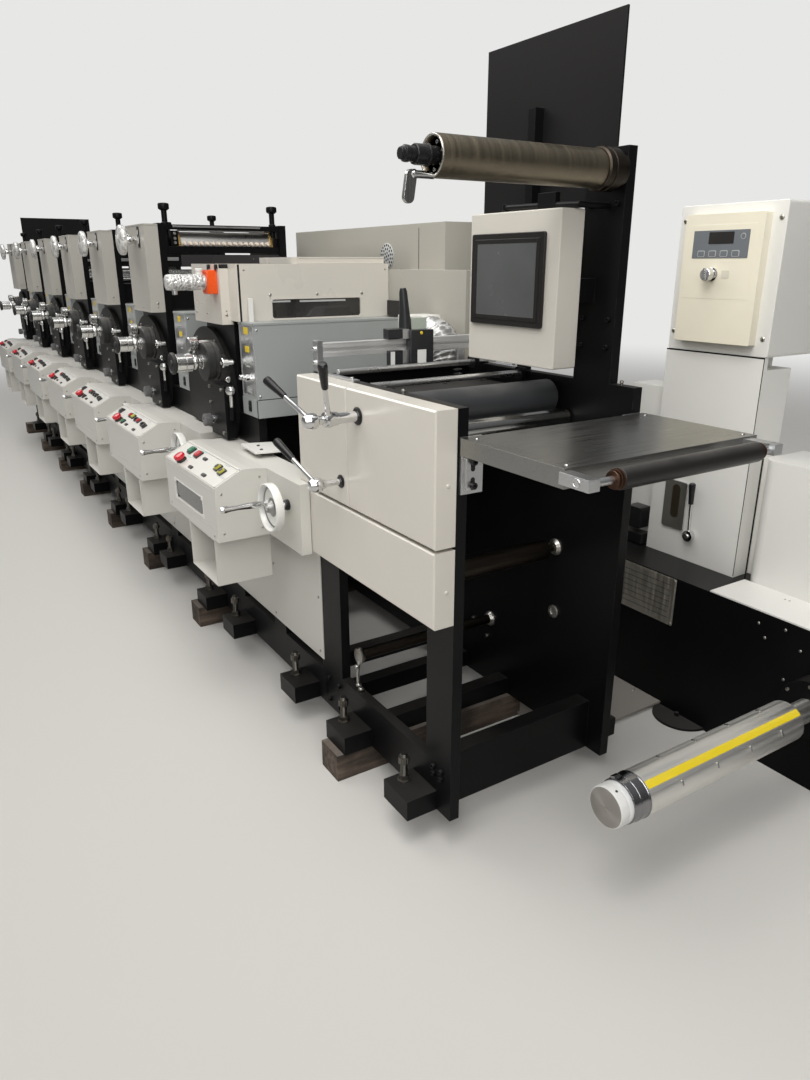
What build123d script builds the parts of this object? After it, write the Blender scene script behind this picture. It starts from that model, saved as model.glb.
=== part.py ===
from build123d import *
import math
import os

os.makedirs("parts", exist_ok=True)

# Whole line: x runs toward the outfeed end, the operator stands on the -y side
FRAME_WIDTH = 587.0
PLATE = 30.0
PACKER_HEIGHT = 90.0
PACKER_WIDTH = 105.0
RAIL_HEIGHT = 160.0
UNIT_PITCH = 810.0
UNIT_COUNT = 6
TURNING_GAP = 6.0
BORE_CLEARANCE = 0.3

# Outfeed stand
STAND_LENGTH = 725.0
STAND_TOP = 1197.0
STAND_NEAR_LEG = 115.0
STAND_FAR_LEG = 125.0
STAND_LOW_RAIL = 145.0
STAND_WINDOW_TOP = 655.0
CROSS_BAR = 50.0
CROSS_BAR_HEIGHT = 60.0
NEAR_BAR_X = -60.0
MID_BAR_X = -440.0
UPPER_TIE_X = -700.0
UPPER_TIE_Z = 1040.0
POST_X = -86.0
POST_WIDTH = 137.0
POST_TOP = 1770.0
STRUT_X = -450.0
STRUT_WIDTH = 30.0
STRUT_TOP = 1900.0

# Covers of the outfeed stand
COVER_DEPTH = 60.0
COVER_LENGTH = 717.0
COVER_SEAM = 8.0
COVER_SPLIT_X = -415.0
COVER_SPLIT = 2.0
COVER_SPLIT_Z = 868.0
LOW_COVER_BOTTOM = 668.0
COVER_EDGE = 4.0

# Impression levers on the stand covers
LEVER_X = -351.0
LEVER_Z = 1132.0
LOW_LEVER_X = -453.0
LOW_LEVER_Z = 937.0
LEVER_LENGTH = 180.0
LEVER_TILT = 17.5
LEVER_HUB = 20.0
LEVER_ROD = 6.0
LEVER_GRIP_START = 7.5
LEVER_GRIP = 11.5
LEVER_GRIP_LENGTH = 74.0
LEVER_SHAFT = 9.0
LEVER_SLEEVE = 14.0
OUTER_LEVER_Y = -190.0
INNER_LEVER_Y = -144.0
LOW_LEVER_Y = -134.0
OUTER_LEVER_ANGLE = 148.5
INNER_LEVER_ANGLE = 60.0
LOW_LEVER_ANGLE = 143.0
LEVER_END_GAP = 2.0

# Rollers of the outfeed stand
NIP_X = -310.0
NIP_Z = 1138.0
NIP_RADIUS = 48.0
STEEL_X = -245.0
STEEL_Z = 1086.0
STEEL_RADIUS = 28.0
JOURNAL = 12.0
GUIDE_ROD = 12.0
TOP_ROD_X = -617.0
TOP_ROD_SEAT = 6.0
GUIDE_ROD_X = -440.0
GUIDE_ROD_Z = 1190.0
IDLER_X = -246.0
IDLER_Z = 690.0
IDLER_RADIUS = 30.0
IDLER_AXLE = 12.0
IDLER_AXLE_LENGTH = 50.0
TUBE_X = -545.0
TUBE_Z = 335.0
TUBE_RADIUS = 16.0

# Outfeed table and its edge roller
TABLE_LENGTH = 333.0
TABLE_TOP = 1133.0
TABLE_CHEEK = 40.0
TABLE_SHEET = 4.0
TABLE_SHORT = 2.0
TABLE_WIDTH = FRAME_WIDTH - TABLE_SHORT
BRACKET_PLATE = 12.0
BRACKET_WIDTH = 59.0
BRACKET_BOTTOM = 1000.0
BRACKET_INSET = 6.0
EDGE_ROLLER_X = 410.0
EDGE_ROLLER_Z = 1118.0
EDGE_ROLLER_RADIUS = 22.0
EDGE_ROLLER_START = 73.0
EDGE_ROLLER_END = FRAME_WIDTH - 95.0
EDGE_SHAFT = 8.0
EDGE_BLOCK = 28.0
EDGE_BLOCK_HEIGHT = 24.0
EDGE_BLOCK_FAR_Y = FRAME_WIDTH - 37.0

# Core roller, board and screen box
CORE_X = -113.0
CORE_Z = 1715.0
CORE_RADIUS = 44.0
CORE_LENGTH = FRAME_WIDTH - 107.0
CORE_FLANGE = 50.0
CORE_JOURNAL = 15.0
CORE_NUT = 21.0
CORE_NUT_LENGTH = 68.0
CORE_NECK = 12.0
BOARD_X0 = -690.0
BOARD_X1 = -155.0
BOARD_BOTTOM = 1640.0
BOARD_TOP = 2080.0
BOARD_SHEET = 6.0
FAR_BOARD_Y = 86.0
FAR_BOARD_OVERHANG = 65.0
FAR_BOARD_WIDTH = FRAME_WIDTH + FAR_BOARD_OVERHANG - FAR_BOARD_Y
FAR_BOARD_BOTTOM = 1480.0
FAR_BOARD_TOP = 1880.0
SCREEN_X0 = -530.0
SCREEN_X1 = -160.0
SCREEN_Z0 = 1235.0
SCREEN_Z1 = 1630.0
SCREEN_SHORT = 167.0
SCREEN_Y = FRAME_WIDTH - SCREEN_SHORT
SCREEN_DEPTH = 70.0
BEZEL_X0 = -510.0
BEZEL_X1 = -210.0
BEZEL_Z0 = 1340.0
BEZEL_Z1 = 1574.0
BEZEL_DEPTH = 6.0
BEZEL_BORDER = 26.0
BEZEL_RECESS = 3.0
ARM_WIDTH = 50.0
ARM_X = -190.0
ARM_HEIGHT = 60.0

# Inspection rail across the stand
INSPECT_PROFILE = 30.0
INSPECT_BRACKET = 20.0
INSPECT_Z = 1252.0
INSPECT_TOP = 1290.0
SENSOR_CASE = (304.0, 385.0, 1200.0, 1309.0)
SENSOR_DEPTH = 31.0
SENSOR_FOOT = (229.0, 1251.0)
SENSOR_FOOT_DEPTH = 22.0
SADDLE_START = 241.0
SADDLE_END = 323.0
SADDLE_HEIGHT = 32.0
SENSOR_HANDLE_Y = 308.0
SENSOR_HANDLE = 13.0
SENSOR_HANDLE_TOP = 1430.0

# Consoles, given from the near end of each one
CONSOLE_BOTTOM = 662.0
CONSOLE_BACK = -95.0
CONSOLE_FRONT = -271.0
CONSOLE_LIP_Z = 841.0
CONSOLE_RIDGE_Z = 890.0
CONSOLE_RIDGE_Y = -178.0
CONSOLE_CREST_Y = -150.0
CONSOLE_BACK_Z = 884.0
FIRST_CONSOLE_X = -900.0
FIRST_CONSOLE_LENGTH = 520.0
FIRST_SHELF = 245.0
CONSOLE_LENGTH = 550.0
CONSOLE_SHELF = 254.0
CONSOLE_WINDOW = (-1320.0, -1030.0, 716.0, 779.0)
WINDOW_RECESS = 6.0
TRAY_NEAR = 40.0
TRAY_LENGTH = 255.0
TRAY_BOTTOM = 500.0
TRAY_BACK = -80.0
TRAY_SHEET = 4.0
STOP_FROM_END = 380.0
STOP_UP_PANEL = 22.0
STOP_RADIUS = 20.0
STOP_BASE = 14.0
STOP_BASE_HEIGHT = 12.0
STOP_CAP_HEIGHT = 14.0

# Console handwheels
WHEEL_FROM_END = 159.0
WHEEL_Z = 803.0
WHEEL_RADIUS = 75.0
WHEEL_BORE = 61.0
WHEEL_BACK = -138.0
WHEEL_THICK = 28.0
WHEEL_WEB = 9.0
WHEEL_HUB = 20.0
WHEEL_SHAFT = 9.0
WHEEL_SHAFT_SEAT = 18.0
WHEEL_ROOM = 146.0
CONSOLE_GAP = WHEEL_FROM_END + WHEEL_RADIUS + WHEEL_ROOM
CONSOLE_X = FIRST_CONSOLE_X - FIRST_CONSOLE_LENGTH - CONSOLE_GAP
HANDLE_OFFSET = 50.0
HANDLE_NECK = 7.0
HANDLE_GRIP = 11.0
HANDLE_END = -295.0
HANDLE_NECK_LENGTH = 30.0

# Skirts and base rails
SKIRT_SHEET = 3.0
SKIRT_BOTTOM = 252.0
RAIL_SLOT_DEPTH = 34.0
RAIL_SLOT_LENGTH = 300.0
RAIL_SLOT_FROM_END = 160.0
LINE_TAIL = 920.0

# Feet and packers
PAD_LENGTH = 122.0
PAD_BACK = 30.0
PAD_DEPTH = 95.0
PAD_HEIGHT = 60.0
PAD_BOLT = 9.0
PAD_BOLT_TOP = 235.0
PAD_NUT = 15.0
PAD_NUT_Z = 205.0
PAD_NUT_HEIGHT = 18.0
STAND_PAD_XS = (-153.0, -506.0)
PAD_NEAR = 40.0
PAD_FAR = -537.0
PACKER_X = -475.0
PACKER_FROM_END = 35.0
PACKER_OVERHANG = 117.0
LAST_PACKER_FROM_TAIL = 70.0

# Varnishing unit next to the outfeed stand
VARNISH_X0 = -1645.0
VARNISH_X1 = -1354.0
VARNISH_FOOT_X = -760.0
VARNISH_STEP_X = -1180.0
VARNISH_STEP_Z = 985.0
VARNISH_TOP = 1500.0
VARNISH_SHELF_Z = 880.0
HOOD_NEAR_X = -1280.0
HOOD_BOTTOM = 1310.0
HOOD_OVERHANG = 9.0
HOOD_WINDOW_SHORT = 111.0
HOOD_WINDOW = (114.0, FRAME_WIDTH - HOOD_WINDOW_SHORT, 1313.0, 1385.0)
HOOD_RECESS = 6.0
HOOD_LID_X = -1300.0
HOOD_LID_Y = 230.0
HOOD_LID = 22.0
SIDE_COVER_DEPTH = 42.0
SIDE_COVER_BOTTOM = 1297.0
VALVE_X = -1405.0
VALVE_WIDTH = 62.0
VALVE_DEPTH = 33.0
VALVE_Z0 = 1400.0
VALVE_Z1 = 1480.0
MOTOR_RADIUS = 28.0
MOTOR_LENGTH = 140.0

# Drying housings
DRYER_BOTTOM = 990.0
DRYER_TOP = 1310.0
DRYER_SHORT = 15.0
DRYER_WIDTH = FRAME_WIDTH - DRYER_SHORT
FIRST_DRYER_X = -1170.0
FIRST_DRYER_DEPTH = 140.0
DRYER_X = -1905.0
DRYER_DEPTH = 165.0

# Exhaust duct leaving the first drying housing
DUCT_RADIUS = 48.0
DUCT_SHORT = 67.0
DUCT_Y = FRAME_WIDTH - DUCT_SHORT
DUCT_START = (-900.0, 1282.0)
DUCT_BEND = (-819.0, 1248.0)
DUCT_END = (-785.0, 1010.0)
DUCT_BOX_LENGTH = 100.0
DUCT_BOX_DEPTH = 126.0
DUCT_BOX_HEIGHT = 96.0

# Feed plate over the first console
FEED_OUTLINE = ((-1192.0, -66.0), (-1034.0, -76.0), (-1018.0, 22.0), (-1160.0, 36.0))
FEED_SHEET = 8.0
FEED_SEAT = (-1165.0, -1050.0)
FEED_SEAT_HEIGHT = 19.0

# Letterpress units, given for the first one
PRESS_X = -2180.0
PRESS_LENGTH = 375.0
PRESS_TOP = 1664.0
PRESS_FOOT_X = -1905.0
PRESS_STEP_Z = 985.0
TOWER_LENGTH = 290.0
TOWER_DEPTH = 62.0
TOWER_BOTTOM = 1300.0
TOWER_TOP = 1660.0
TOWER_WHEEL_BACK = 140.0
TOWER_WHEEL_Z = 1597.0
TOWER_WHEEL_RADIUS = 62.0
TOWER_WHEEL_THICK = 30.0
TOWER_WHEEL_Y = -105.0
TOWER_SHAFT = 10.0
TOWER_COLLAR = 17.0
ROD_BACK = 45.0
ROD_INSET = 46.0
ROD_RADIUS = 12.0
ROD_TOP = 1720.0
KNOB_RADIUS = 24.0
KNOB_HEIGHT = 26.0
BEAM_BACK = 20.0
BEAM_DEPTH = 30.0
TOP_BEAM = (1640.0, 1660.0)
LOW_BEAM = (1545.0, 1572.0)
PANEL_BEAM = (1488.0, 1538.0)
FOUNTAIN_START = 105.0
FOUNTAIN_SHORT = 67.0
FOUNTAIN_END = FRAME_WIDTH - FOUNTAIN_SHORT
FOUNTAIN_BACK = 110.0
FOUNTAIN_FRONT = 28.0
FOUNTAIN_BOTTOM = 1572.0
FOUNTAIN_TOP = 1632.0
FOUNTAIN_SLOPE = 24.0
BRASS = 12.0
INK_ROLLER = 30.0
INK_ROLLER_BACK = 160.0
RAIL_ROD = 10.0
RAIL_ROD_ZS = (1424.0, 1462.0)
INTERIOR_BACK = 24.0
INTERIOR_TOP = 1400.0
INTERIOR_GAP = 60.0

# Drum guards and register drives on the operator side
GUARD_BACK = 265.0
GUARD_Z = 1014.0
GUARD_RADIUS = 262.0
GUARD_SHEET = 18.0
GUARD_OVER_CONSOLE = 8.0
GUARD_CUT = CONSOLE_BACK_Z + GUARD_OVER_CONSOLE
REGISTER_BACK = 76.0
REGISTER_Z = 1167.0
REGISTER_DISC = 68.0
REGISTER_DISC_Y = (-100.0, -48.0)
REGISTER_HUB = 20.0
COUPLING = 16.0
COUPLING_END = -141.0
SLEEVE = 32.0
SLEEVE_END = -202.0
END_DISC = 38.0
END_DISC_END = -216.0
BRACKET_STAND = (-156.0, 7.0, GUARD_CUT, 1085.0)
BRACKET_STAND_DEPTH = 40.0
BALL_Z = 1070.0
BALL_RADIUS = 19.0
BALL_SEAT = 15.2
BALL_STEM = 7.0
BALL_STEM_END = 1012.0
BALL_GRIP = 10.0
BALL_GRIP_END = 962.0
KNOB_FROM_END = 126.0
KNOB_Z = 947.0
KNOB_NECK = 12.0
KNOB_NECK_LENGTH = 10.0
KNOB_GRIP = 23.0
KNOB_GRIP_LENGTH = 30.0
KNOB_RIB = 2.0
KNOB_RIBS = 12

# Drive side
GEAR_COVER_DEPTH = 103.0
GEAR_COVER_BOTTOM = 262.0
GEAR_COVER_TOP = 1180.0
GEAR_COVER_GAP = 8.0
DUCT_CABINET = (-1277.0, -786.0, 1479.0)
TALL_CABINET = (-2290.0, -1045.0, 1640.0)
TALL_CABINET_DEPTH = 250.0

# Unwind stand behind the outfeed end
UNWIND_X0 = -640.0
UNWIND_X1 = 640.0
UNWIND_GAP = 476.0
UNWIND_Y = FRAME_WIDTH + UNWIND_GAP
UNWIND_DEPTH = 460.0
UNWIND_BASE_TOP = 495.0
LEDGE_X = -54.0
LEDGE_SHEET = 5.0
LEDGE_DEPTH = 177.0
TALL_COVER = (-468.0, -92.0, 1223.0)
TALL_COVER_STEP = 167.0
TALL_COVER_Y = UNWIND_Y + TALL_COVER_STEP
TALL_COVER_DEPTH = 145.0
TALL_COVER_BACK_TOP = 1184.0
TALL_COVER_FRONT = 20.0
TENSION_NECK = (-400.0, -160.0)
SIDE_COVER_STEP = 30.0
SIDE_COVER = (-630.0, TALL_COVER_Y + SIDE_COVER_STEP, 1085.0)
BACK_COVER_STEP = 80.0
BACK_COVER = (TALL_COVER_Y + BACK_COVER_STEP, 900.0)
ROUND_COVER_X1 = 560.0
ROUND_COVER_TOP = 912.0
ROUND_COVER_DEPTH = 220.0
ROUND_COVER_CORNER = 45.0
TENSION_TOP = 1667.0
TENSION_DEPTH = 250.0
TENSION_FACE = (44.0, 44.0, 287.0, 368.0)
TENSION_FACE_DEPTH = 32.0
BRAKE_X = -280.0
BRAKE_Z = 592.0
BRAKE_BOSS = 20.0
BRAKE_BOSS_DEPTH = 20.0
BRAKE_LENGTH = 194.0
BRAKE_STEM = 5.0
BRAKE_GRIP_START = 8.4
BRAKE_GRIP = 12.0
BRAKE_GRIP_LENGTH = 76.0
SHAFT_X = 354.0
SHAFT_Z = 288.0
SHAFT_RADIUS = 58.0
SHAFT_ROOT_GAP = 163.0
SHAFT_LENGTH = 679.0
SHAFT_ROOT = UNWIND_Y - SHAFT_ROOT_GAP
SHAFT_TIP = SHAFT_ROOT - SHAFT_LENGTH
SHAFT_CAP = 54.0
SHAFT_CAP_LENGTH = 26.0
SHAFT_JOURNAL = 33.0
SHAFT_JOURNAL_LENGTH = 195.0
SHAFT_HUB = 86.0
SHAFT_HUB_LENGTH = 63.0
TIE_X0 = -415.0
TIE_X1 = -194.0
TIE_UP_X0 = -405.0
TIE_UP_X1 = -255.0
TIE_SHEET = 8.0
TIE_BOTTOM = 12.0
TIE_UPSTAND = 150.0

FRAME_BOTTOM = PACKER_HEIGHT
RAIL_TOP = FRAME_BOTTOM + RAIL_HEIGHT
INNER_NEAR = PLATE
INNER_FAR = FRAME_WIDTH - PLATE
UNIT_XS = [-UNIT_PITCH * index for index in range(UNIT_COUNT)]
LINE_END = CONSOLE_X + UNIT_XS[-1] - LINE_TAIL
NODES = {}


def block(x0, x1, y0, y1, z0, z1):
    body = Box(x1 - x0, y1 - y0, z1 - z0)
    return Pos((x0 + x1) / 2, (y0 + y1) / 2, (z0 + z1) / 2) * body


def rod_y(x, z, radius, y0, y1):
    body = Cylinder(radius, y1 - y0)
    return Pos(x, (y0 + y1) / 2, z) * Rot(90, 0, 0) * body


def rod_z(x, y, radius, z0, z1):
    return Pos(x, y, (z0 + z1) / 2) * Cylinder(radius, z1 - z0)


def slab_x(outline, x0, x1):
    points = [Vector(x0, y, z) for y, z in outline]
    face = make_face(Polyline(*points, close=True))
    return extrude(face, amount=x1 - x0, dir=(1, 0, 0))


def slab_y(outline, y0, y1):
    points = [Vector(x, y0, z) for x, z in outline]
    face = make_face(Polyline(*points, close=True))
    return extrude(face, amount=y1 - y0, dir=(0, 1, 0))


def moved(shape, dx):
    return Pos(dx, 0, 0) * shape


def node(name, *shapes):
    solids = []
    for shape in shapes:
        solids.extend(shape.solids())
    NODES[name] = solids


# Outfeed stand: two black side plates tied by bars, with the drive side post
near_plate = block(-STAND_LENGTH, 0, 0, PLATE, FRAME_BOTTOM, STAND_TOP)
near_plate -= block(
    -STAND_LENGTH + STAND_FAR_LEG,
    -STAND_NEAR_LEG,
    -1,
    PLATE + 1,
    FRAME_BOTTOM + STAND_LOW_RAIL,
    STAND_WINDOW_TOP,
)
far_plate = block(-STAND_LENGTH, 0, INNER_FAR, FRAME_WIDTH, FRAME_BOTTOM, STAND_TOP)
post = block(POST_X - POST_WIDTH, POST_X, INNER_FAR, FRAME_WIDTH, STAND_TOP, POST_TOP)
strut = block(
    STRUT_X - STRUT_WIDTH / 2,
    STRUT_X + STRUT_WIDTH / 2,
    INNER_FAR,
    FRAME_WIDTH,
    STAND_TOP,
    STRUT_TOP,
)
stand = near_plate + far_plate + post + strut
for bar_x, bar_height in (
    (-STAND_LENGTH + CROSS_BAR, CROSS_BAR_HEIGHT),
    (MID_BAR_X, CROSS_BAR_HEIGHT),
    (NEAR_BAR_X, RAIL_HEIGHT),
):
    stand += block(
        bar_x - CROSS_BAR,
        bar_x,
        INNER_NEAR,
        INNER_FAR,
        FRAME_BOTTOM,
        FRAME_BOTTOM + bar_height,
    )
stand += block(
    UPPER_TIE_X,
    UPPER_TIE_X + CROSS_BAR,
    INNER_NEAR,
    INNER_FAR,
    UPPER_TIE_Z,
    UPPER_TIE_Z + CROSS_BAR_HEIGHT,
)
screen_back = SCREEN_Y + SCREEN_DEPTH
screen_mid_z = (SCREEN_Z0 + SCREEN_Z1) / 2
stand += block(
    ARM_X - ARM_WIDTH / 2,
    ARM_X + ARM_WIDTH / 2,
    screen_back,
    INNER_FAR,
    screen_mid_z - ARM_HEIGHT / 2,
    screen_mid_z + ARM_HEIGHT / 2,
)
for roller_x, roller_z in ((NIP_X, NIP_Z), (STEEL_X, STEEL_Z)):
    stand -= rod_y(roller_x, roller_z, JOURNAL + BORE_CLEARANCE, -1, FRAME_WIDTH + 1)
stand -= rod_y(
    CORE_X, CORE_Z, CORE_JOURNAL + BORE_CLEARANCE, INNER_FAR - 1, FRAME_WIDTH + 1
)
node("outfeed_stand_frame", stand)

# Off-white covers over the operator side plate, split as on the machine
upper_far = block(
    -COVER_LENGTH,
    COVER_SPLIT_X - COVER_SPLIT / 2,
    -COVER_DEPTH,
    0,
    COVER_SPLIT_Z + COVER_SEAM / 2,
    STAND_TOP,
)
upper_near = block(
    COVER_SPLIT_X + COVER_SPLIT / 2,
    0,
    -COVER_DEPTH,
    0,
    COVER_SPLIT_Z + COVER_SEAM / 2,
    STAND_TOP,
)
lower_cover = block(
    -COVER_LENGTH, 0, -COVER_DEPTH, 0, LOW_COVER_BOTTOM, COVER_SPLIT_Z - COVER_SEAM / 2
)
covers = []
for cover in (upper_far, upper_near, lower_cover):
    front_edges = cover.faces().sort_by(Axis.Y)[0].edges()
    covers.append(chamfer(front_edges, COVER_EDGE))
sleeve_hole = rod_y(
    LEVER_X, LEVER_Z, LEVER_SLEEVE + BORE_CLEARANCE, -COVER_DEPTH - 1, 1
)
low_hole = rod_y(
    LOW_LEVER_X, LOW_LEVER_Z, LEVER_SHAFT + BORE_CLEARANCE, -COVER_DEPTH - 1, 1
)
covers = [cover - sleeve_hole - low_hole for cover in covers]
node("outfeed_stand_covers", *covers)


# Levers: ball hub, steel rod leaning outward and a tapered black grip
def lever(x, y, z, angle, shaft_radius, shaft_end):
    lean = math.radians(LEVER_TILT)
    turn = math.radians(angle)
    along = Vector(
        math.cos(turn) * math.cos(lean),
        -math.sin(lean),
        math.sin(turn) * math.cos(lean),
    )
    seat = Plane(origin=(x, y, z), z_dir=along)
    low = (Align.CENTER, Align.CENTER, Align.MIN)
    arm = seat * Cylinder(LEVER_ROD, LEVER_LENGTH - LEVER_GRIP_LENGTH / 2, align=low)
    grip_seat = Pos(0, 0, LEVER_LENGTH - LEVER_GRIP_LENGTH)
    grip = seat * grip_seat * Cone(
        LEVER_GRIP_START, LEVER_GRIP, LEVER_GRIP_LENGTH, align=low
    )
    hub = Pos(x, y, z) * Sphere(LEVER_HUB)
    return hub + arm + grip + rod_y(x, z, shaft_radius, y, shaft_end)


outer_lever = lever(
    LEVER_X, OUTER_LEVER_Y, LEVER_Z, OUTER_LEVER_ANGLE, LEVER_SHAFT, -LEVER_END_GAP
)
inner_lever = lever(
    LEVER_X, INNER_LEVER_Y, LEVER_Z, INNER_LEVER_ANGLE, LEVER_SLEEVE, -LEVER_END_GAP
)
inner_lever -= rod_y(
    LEVER_X, LEVER_Z, LEVER_SHAFT + BORE_CLEARANCE, OUTER_LEVER_Y, 1
)
low_lever = lever(
    LOW_LEVER_X, LOW_LEVER_Y, LOW_LEVER_Z, LOW_LEVER_ANGLE, LEVER_SHAFT, -LEVER_END_GAP
)
node("lever_upper_outer", outer_lever)
node("lever_upper_inner", inner_lever)
node("lever_lower", low_lever)


# Rollers between the stand plates
def turning_roller(x, z, radius):
    barrel = rod_y(x, z, radius, INNER_NEAR + TURNING_GAP, INNER_FAR - TURNING_GAP)
    return barrel + rod_y(x, z, JOURNAL, LEVER_END_GAP, FRAME_WIDTH - LEVER_END_GAP)


node("rubber_nip_roller", turning_roller(NIP_X, NIP_Z, NIP_RADIUS))
node("steel_nip_roller", turning_roller(STEEL_X, STEEL_Z, STEEL_RADIUS))
top_rod = rod_y(
    TOP_ROD_X,
    STAND_TOP + GUIDE_ROD,
    GUIDE_ROD,
    INNER_NEAR - TOP_ROD_SEAT,
    INNER_FAR + TOP_ROD_SEAT,
)
low_rod = rod_y(GUIDE_ROD_X, GUIDE_ROD_Z, GUIDE_ROD, INNER_NEAR, INNER_FAR)
node("bright_guide_rods", top_rod, low_rod)
idler = rod_y(IDLER_X, IDLER_Z, IDLER_AXLE, INNER_NEAR, INNER_FAR)
idler += rod_y(
    IDLER_X,
    IDLER_Z,
    IDLER_RADIUS,
    INNER_NEAR + IDLER_AXLE_LENGTH,
    INNER_FAR - IDLER_AXLE_LENGTH,
)
node(
    "brown_idler_tubes",
    idler,
    rod_y(TUBE_X, TUBE_Z, TUBE_RADIUS, INNER_NEAR, INNER_FAR),
)

# Outfeed table: folded steel tray on two plates, edge roller on blocks
table_x0 = BRACKET_PLATE
table_x1 = BRACKET_PLATE + TABLE_LENGTH
table_z0 = TABLE_TOP - TABLE_CHEEK
table = block(table_x0, table_x1, 0, TABLE_WIDTH, table_z0, TABLE_TOP)
table -= block(
    table_x0 + TABLE_SHEET,
    table_x1 - TABLE_SHEET,
    TABLE_SHEET,
    TABLE_WIDTH - TABLE_SHEET,
    table_z0 - 1,
    TABLE_TOP - TABLE_SHEET,
)
node("outfeed_table", table)
brackets = []
for bracket_y in (BRACKET_INSET, FRAME_WIDTH - BRACKET_INSET - BRACKET_WIDTH):
    brackets.append(
        block(
            0,
            BRACKET_PLATE,
            bracket_y,
            bracket_y + BRACKET_WIDTH,
            BRACKET_BOTTOM,
            TABLE_TOP - 1,
        )
    )
edge_support = rod_y(EDGE_ROLLER_X, EDGE_ROLLER_Z, EDGE_SHAFT, 0, EDGE_BLOCK_FAR_Y)
for edge_y in (0.0, EDGE_BLOCK_FAR_Y):
    edge_support += block(
        table_x1,
        EDGE_ROLLER_X + EDGE_BLOCK / 2,
        edge_y - EDGE_BLOCK / 2,
        edge_y + EDGE_BLOCK / 2,
        EDGE_ROLLER_Z - EDGE_BLOCK_HEIGHT / 2,
        EDGE_ROLLER_Z + EDGE_BLOCK_HEIGHT / 2,
    )
node("table_brackets", edge_support, *brackets)
edge_roller = rod_y(
    EDGE_ROLLER_X,
    EDGE_ROLLER_Z,
    EDGE_ROLLER_RADIUS,
    EDGE_ROLLER_START,
    EDGE_ROLLER_END,
)
edge_roller -= rod_y(
    EDGE_ROLLER_X, EDGE_ROLLER_Z, EDGE_SHAFT + BORE_CLEARANCE, 0, EDGE_BLOCK_FAR_Y
)
node("table_edge_roller", edge_roller)

# Core roller carried on one side by the post
core = rod_y(CORE_X, CORE_Z, CORE_RADIUS, 0, CORE_LENGTH)
core += rod_y(CORE_X, CORE_Z, CORE_FLANGE, CORE_LENGTH, INNER_FAR - TURNING_GAP)
core += rod_y(CORE_X, CORE_Z, CORE_JOURNAL, CORE_LENGTH, FRAME_WIDTH - LEVER_END_GAP)
core += rod_y(CORE_X, CORE_Z, CORE_NECK, -CORE_NECK, 1)
core += rod_y(
    CORE_X, CORE_Z, CORE_NUT, -CORE_NECK - CORE_NUT_LENGTH, -CORE_NECK
)
node("core_roller", core)

# Black board and the screen box
far_board_x = PRESS_X - PRESS_LENGTH + UNIT_XS[-1]
node(
    "shield_board",
    block(
        BOARD_X0, BOARD_X1, FRAME_WIDTH, FRAME_WIDTH + BOARD_SHEET, BOARD_BOTTOM, BOARD_TOP
    ),
    block(
        far_board_x - BOARD_SHEET,
        far_board_x,
        FAR_BOARD_Y,
        FAR_BOARD_Y + FAR_BOARD_WIDTH,
        FAR_BOARD_BOTTOM,
        FAR_BOARD_TOP,
    ),
)
node(
    "screen_box",
    block(SCREEN_X0, SCREEN_X1, SCREEN_Y, screen_back, SCREEN_Z0, SCREEN_Z1),
)
bezel = block(
    BEZEL_X0, BEZEL_X1, SCREEN_Y - BEZEL_DEPTH, SCREEN_Y, BEZEL_Z0, BEZEL_Z1
)
bezel -= block(
    BEZEL_X0 + BEZEL_BORDER,
    BEZEL_X1 - BEZEL_BORDER,
    SCREEN_Y - BEZEL_DEPTH - 1,
    SCREEN_Y - BEZEL_DEPTH + BEZEL_RECESS,
    BEZEL_Z0 + BEZEL_BORDER,
    BEZEL_Z1 - BEZEL_BORDER,
)
node("touch_screen", bezel)

# Inspection rail on two brackets at the far end of the stand
rail_x0 = -STAND_LENGTH
rail_x1 = rail_x0 + INSPECT_PROFILE
inspection = block(
    rail_x0,
    rail_x1,
    INSPECT_BRACKET,
    FRAME_WIDTH - INSPECT_BRACKET,
    INSPECT_Z,
    INSPECT_Z + INSPECT_PROFILE,
)
for bracket_y in (0.0, FRAME_WIDTH - INSPECT_BRACKET):
    inspection += block(
        rail_x0, rail_x1, bracket_y, bracket_y + INSPECT_BRACKET, STAND_TOP, INSPECT_TOP
    )
node("inspection_rail", inspection)

# Print sensor: case hung on the rail's face, saddle and upright handle on its top
case_y0, case_y1, case_z0, case_z1 = SENSOR_CASE
foot_y0, foot_z1 = SENSOR_FOOT
rail_top = INSPECT_Z + INSPECT_PROFILE
sensor = block(rail_x1, rail_x1 + SENSOR_DEPTH, case_y0, case_y1, case_z0, case_z1)
sensor += block(
    rail_x1, rail_x1 + SENSOR_FOOT_DEPTH, foot_y0, case_y0 + 1, case_z0, foot_z1
)
sensor += block(
    rail_x0,
    rail_x1 + SENSOR_FOOT_DEPTH,
    SADDLE_START,
    SADDLE_END,
    rail_top,
    rail_top + SADDLE_HEIGHT,
)
handle_x = (rail_x0 + rail_x1) / 2
sensor += rod_z(
    handle_x, SENSOR_HANDLE_Y, SENSOR_HANDLE, rail_top + SADDLE_HEIGHT - 1, SENSOR_HANDLE_TOP
)
sensor += Pos(handle_x, SENSOR_HANDLE_Y, SENSOR_HANDLE_TOP) * Sphere(SENSOR_HANDLE)
node("print_sensor", sensor)

# Consoles: slanted panel housing, shelf back to the frame, open tray below
CONSOLE_OUTLINE = [
    (CONSOLE_FRONT, CONSOLE_BOTTOM),
    (CONSOLE_FRONT, CONSOLE_LIP_Z),
    (CONSOLE_RIDGE_Y, CONSOLE_RIDGE_Z),
    (CONSOLE_CREST_Y, CONSOLE_RIDGE_Z),
    (CONSOLE_BACK, CONSOLE_BACK_Z),
    (CONSOLE_BACK, CONSOLE_BOTTOM),
]


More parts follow.
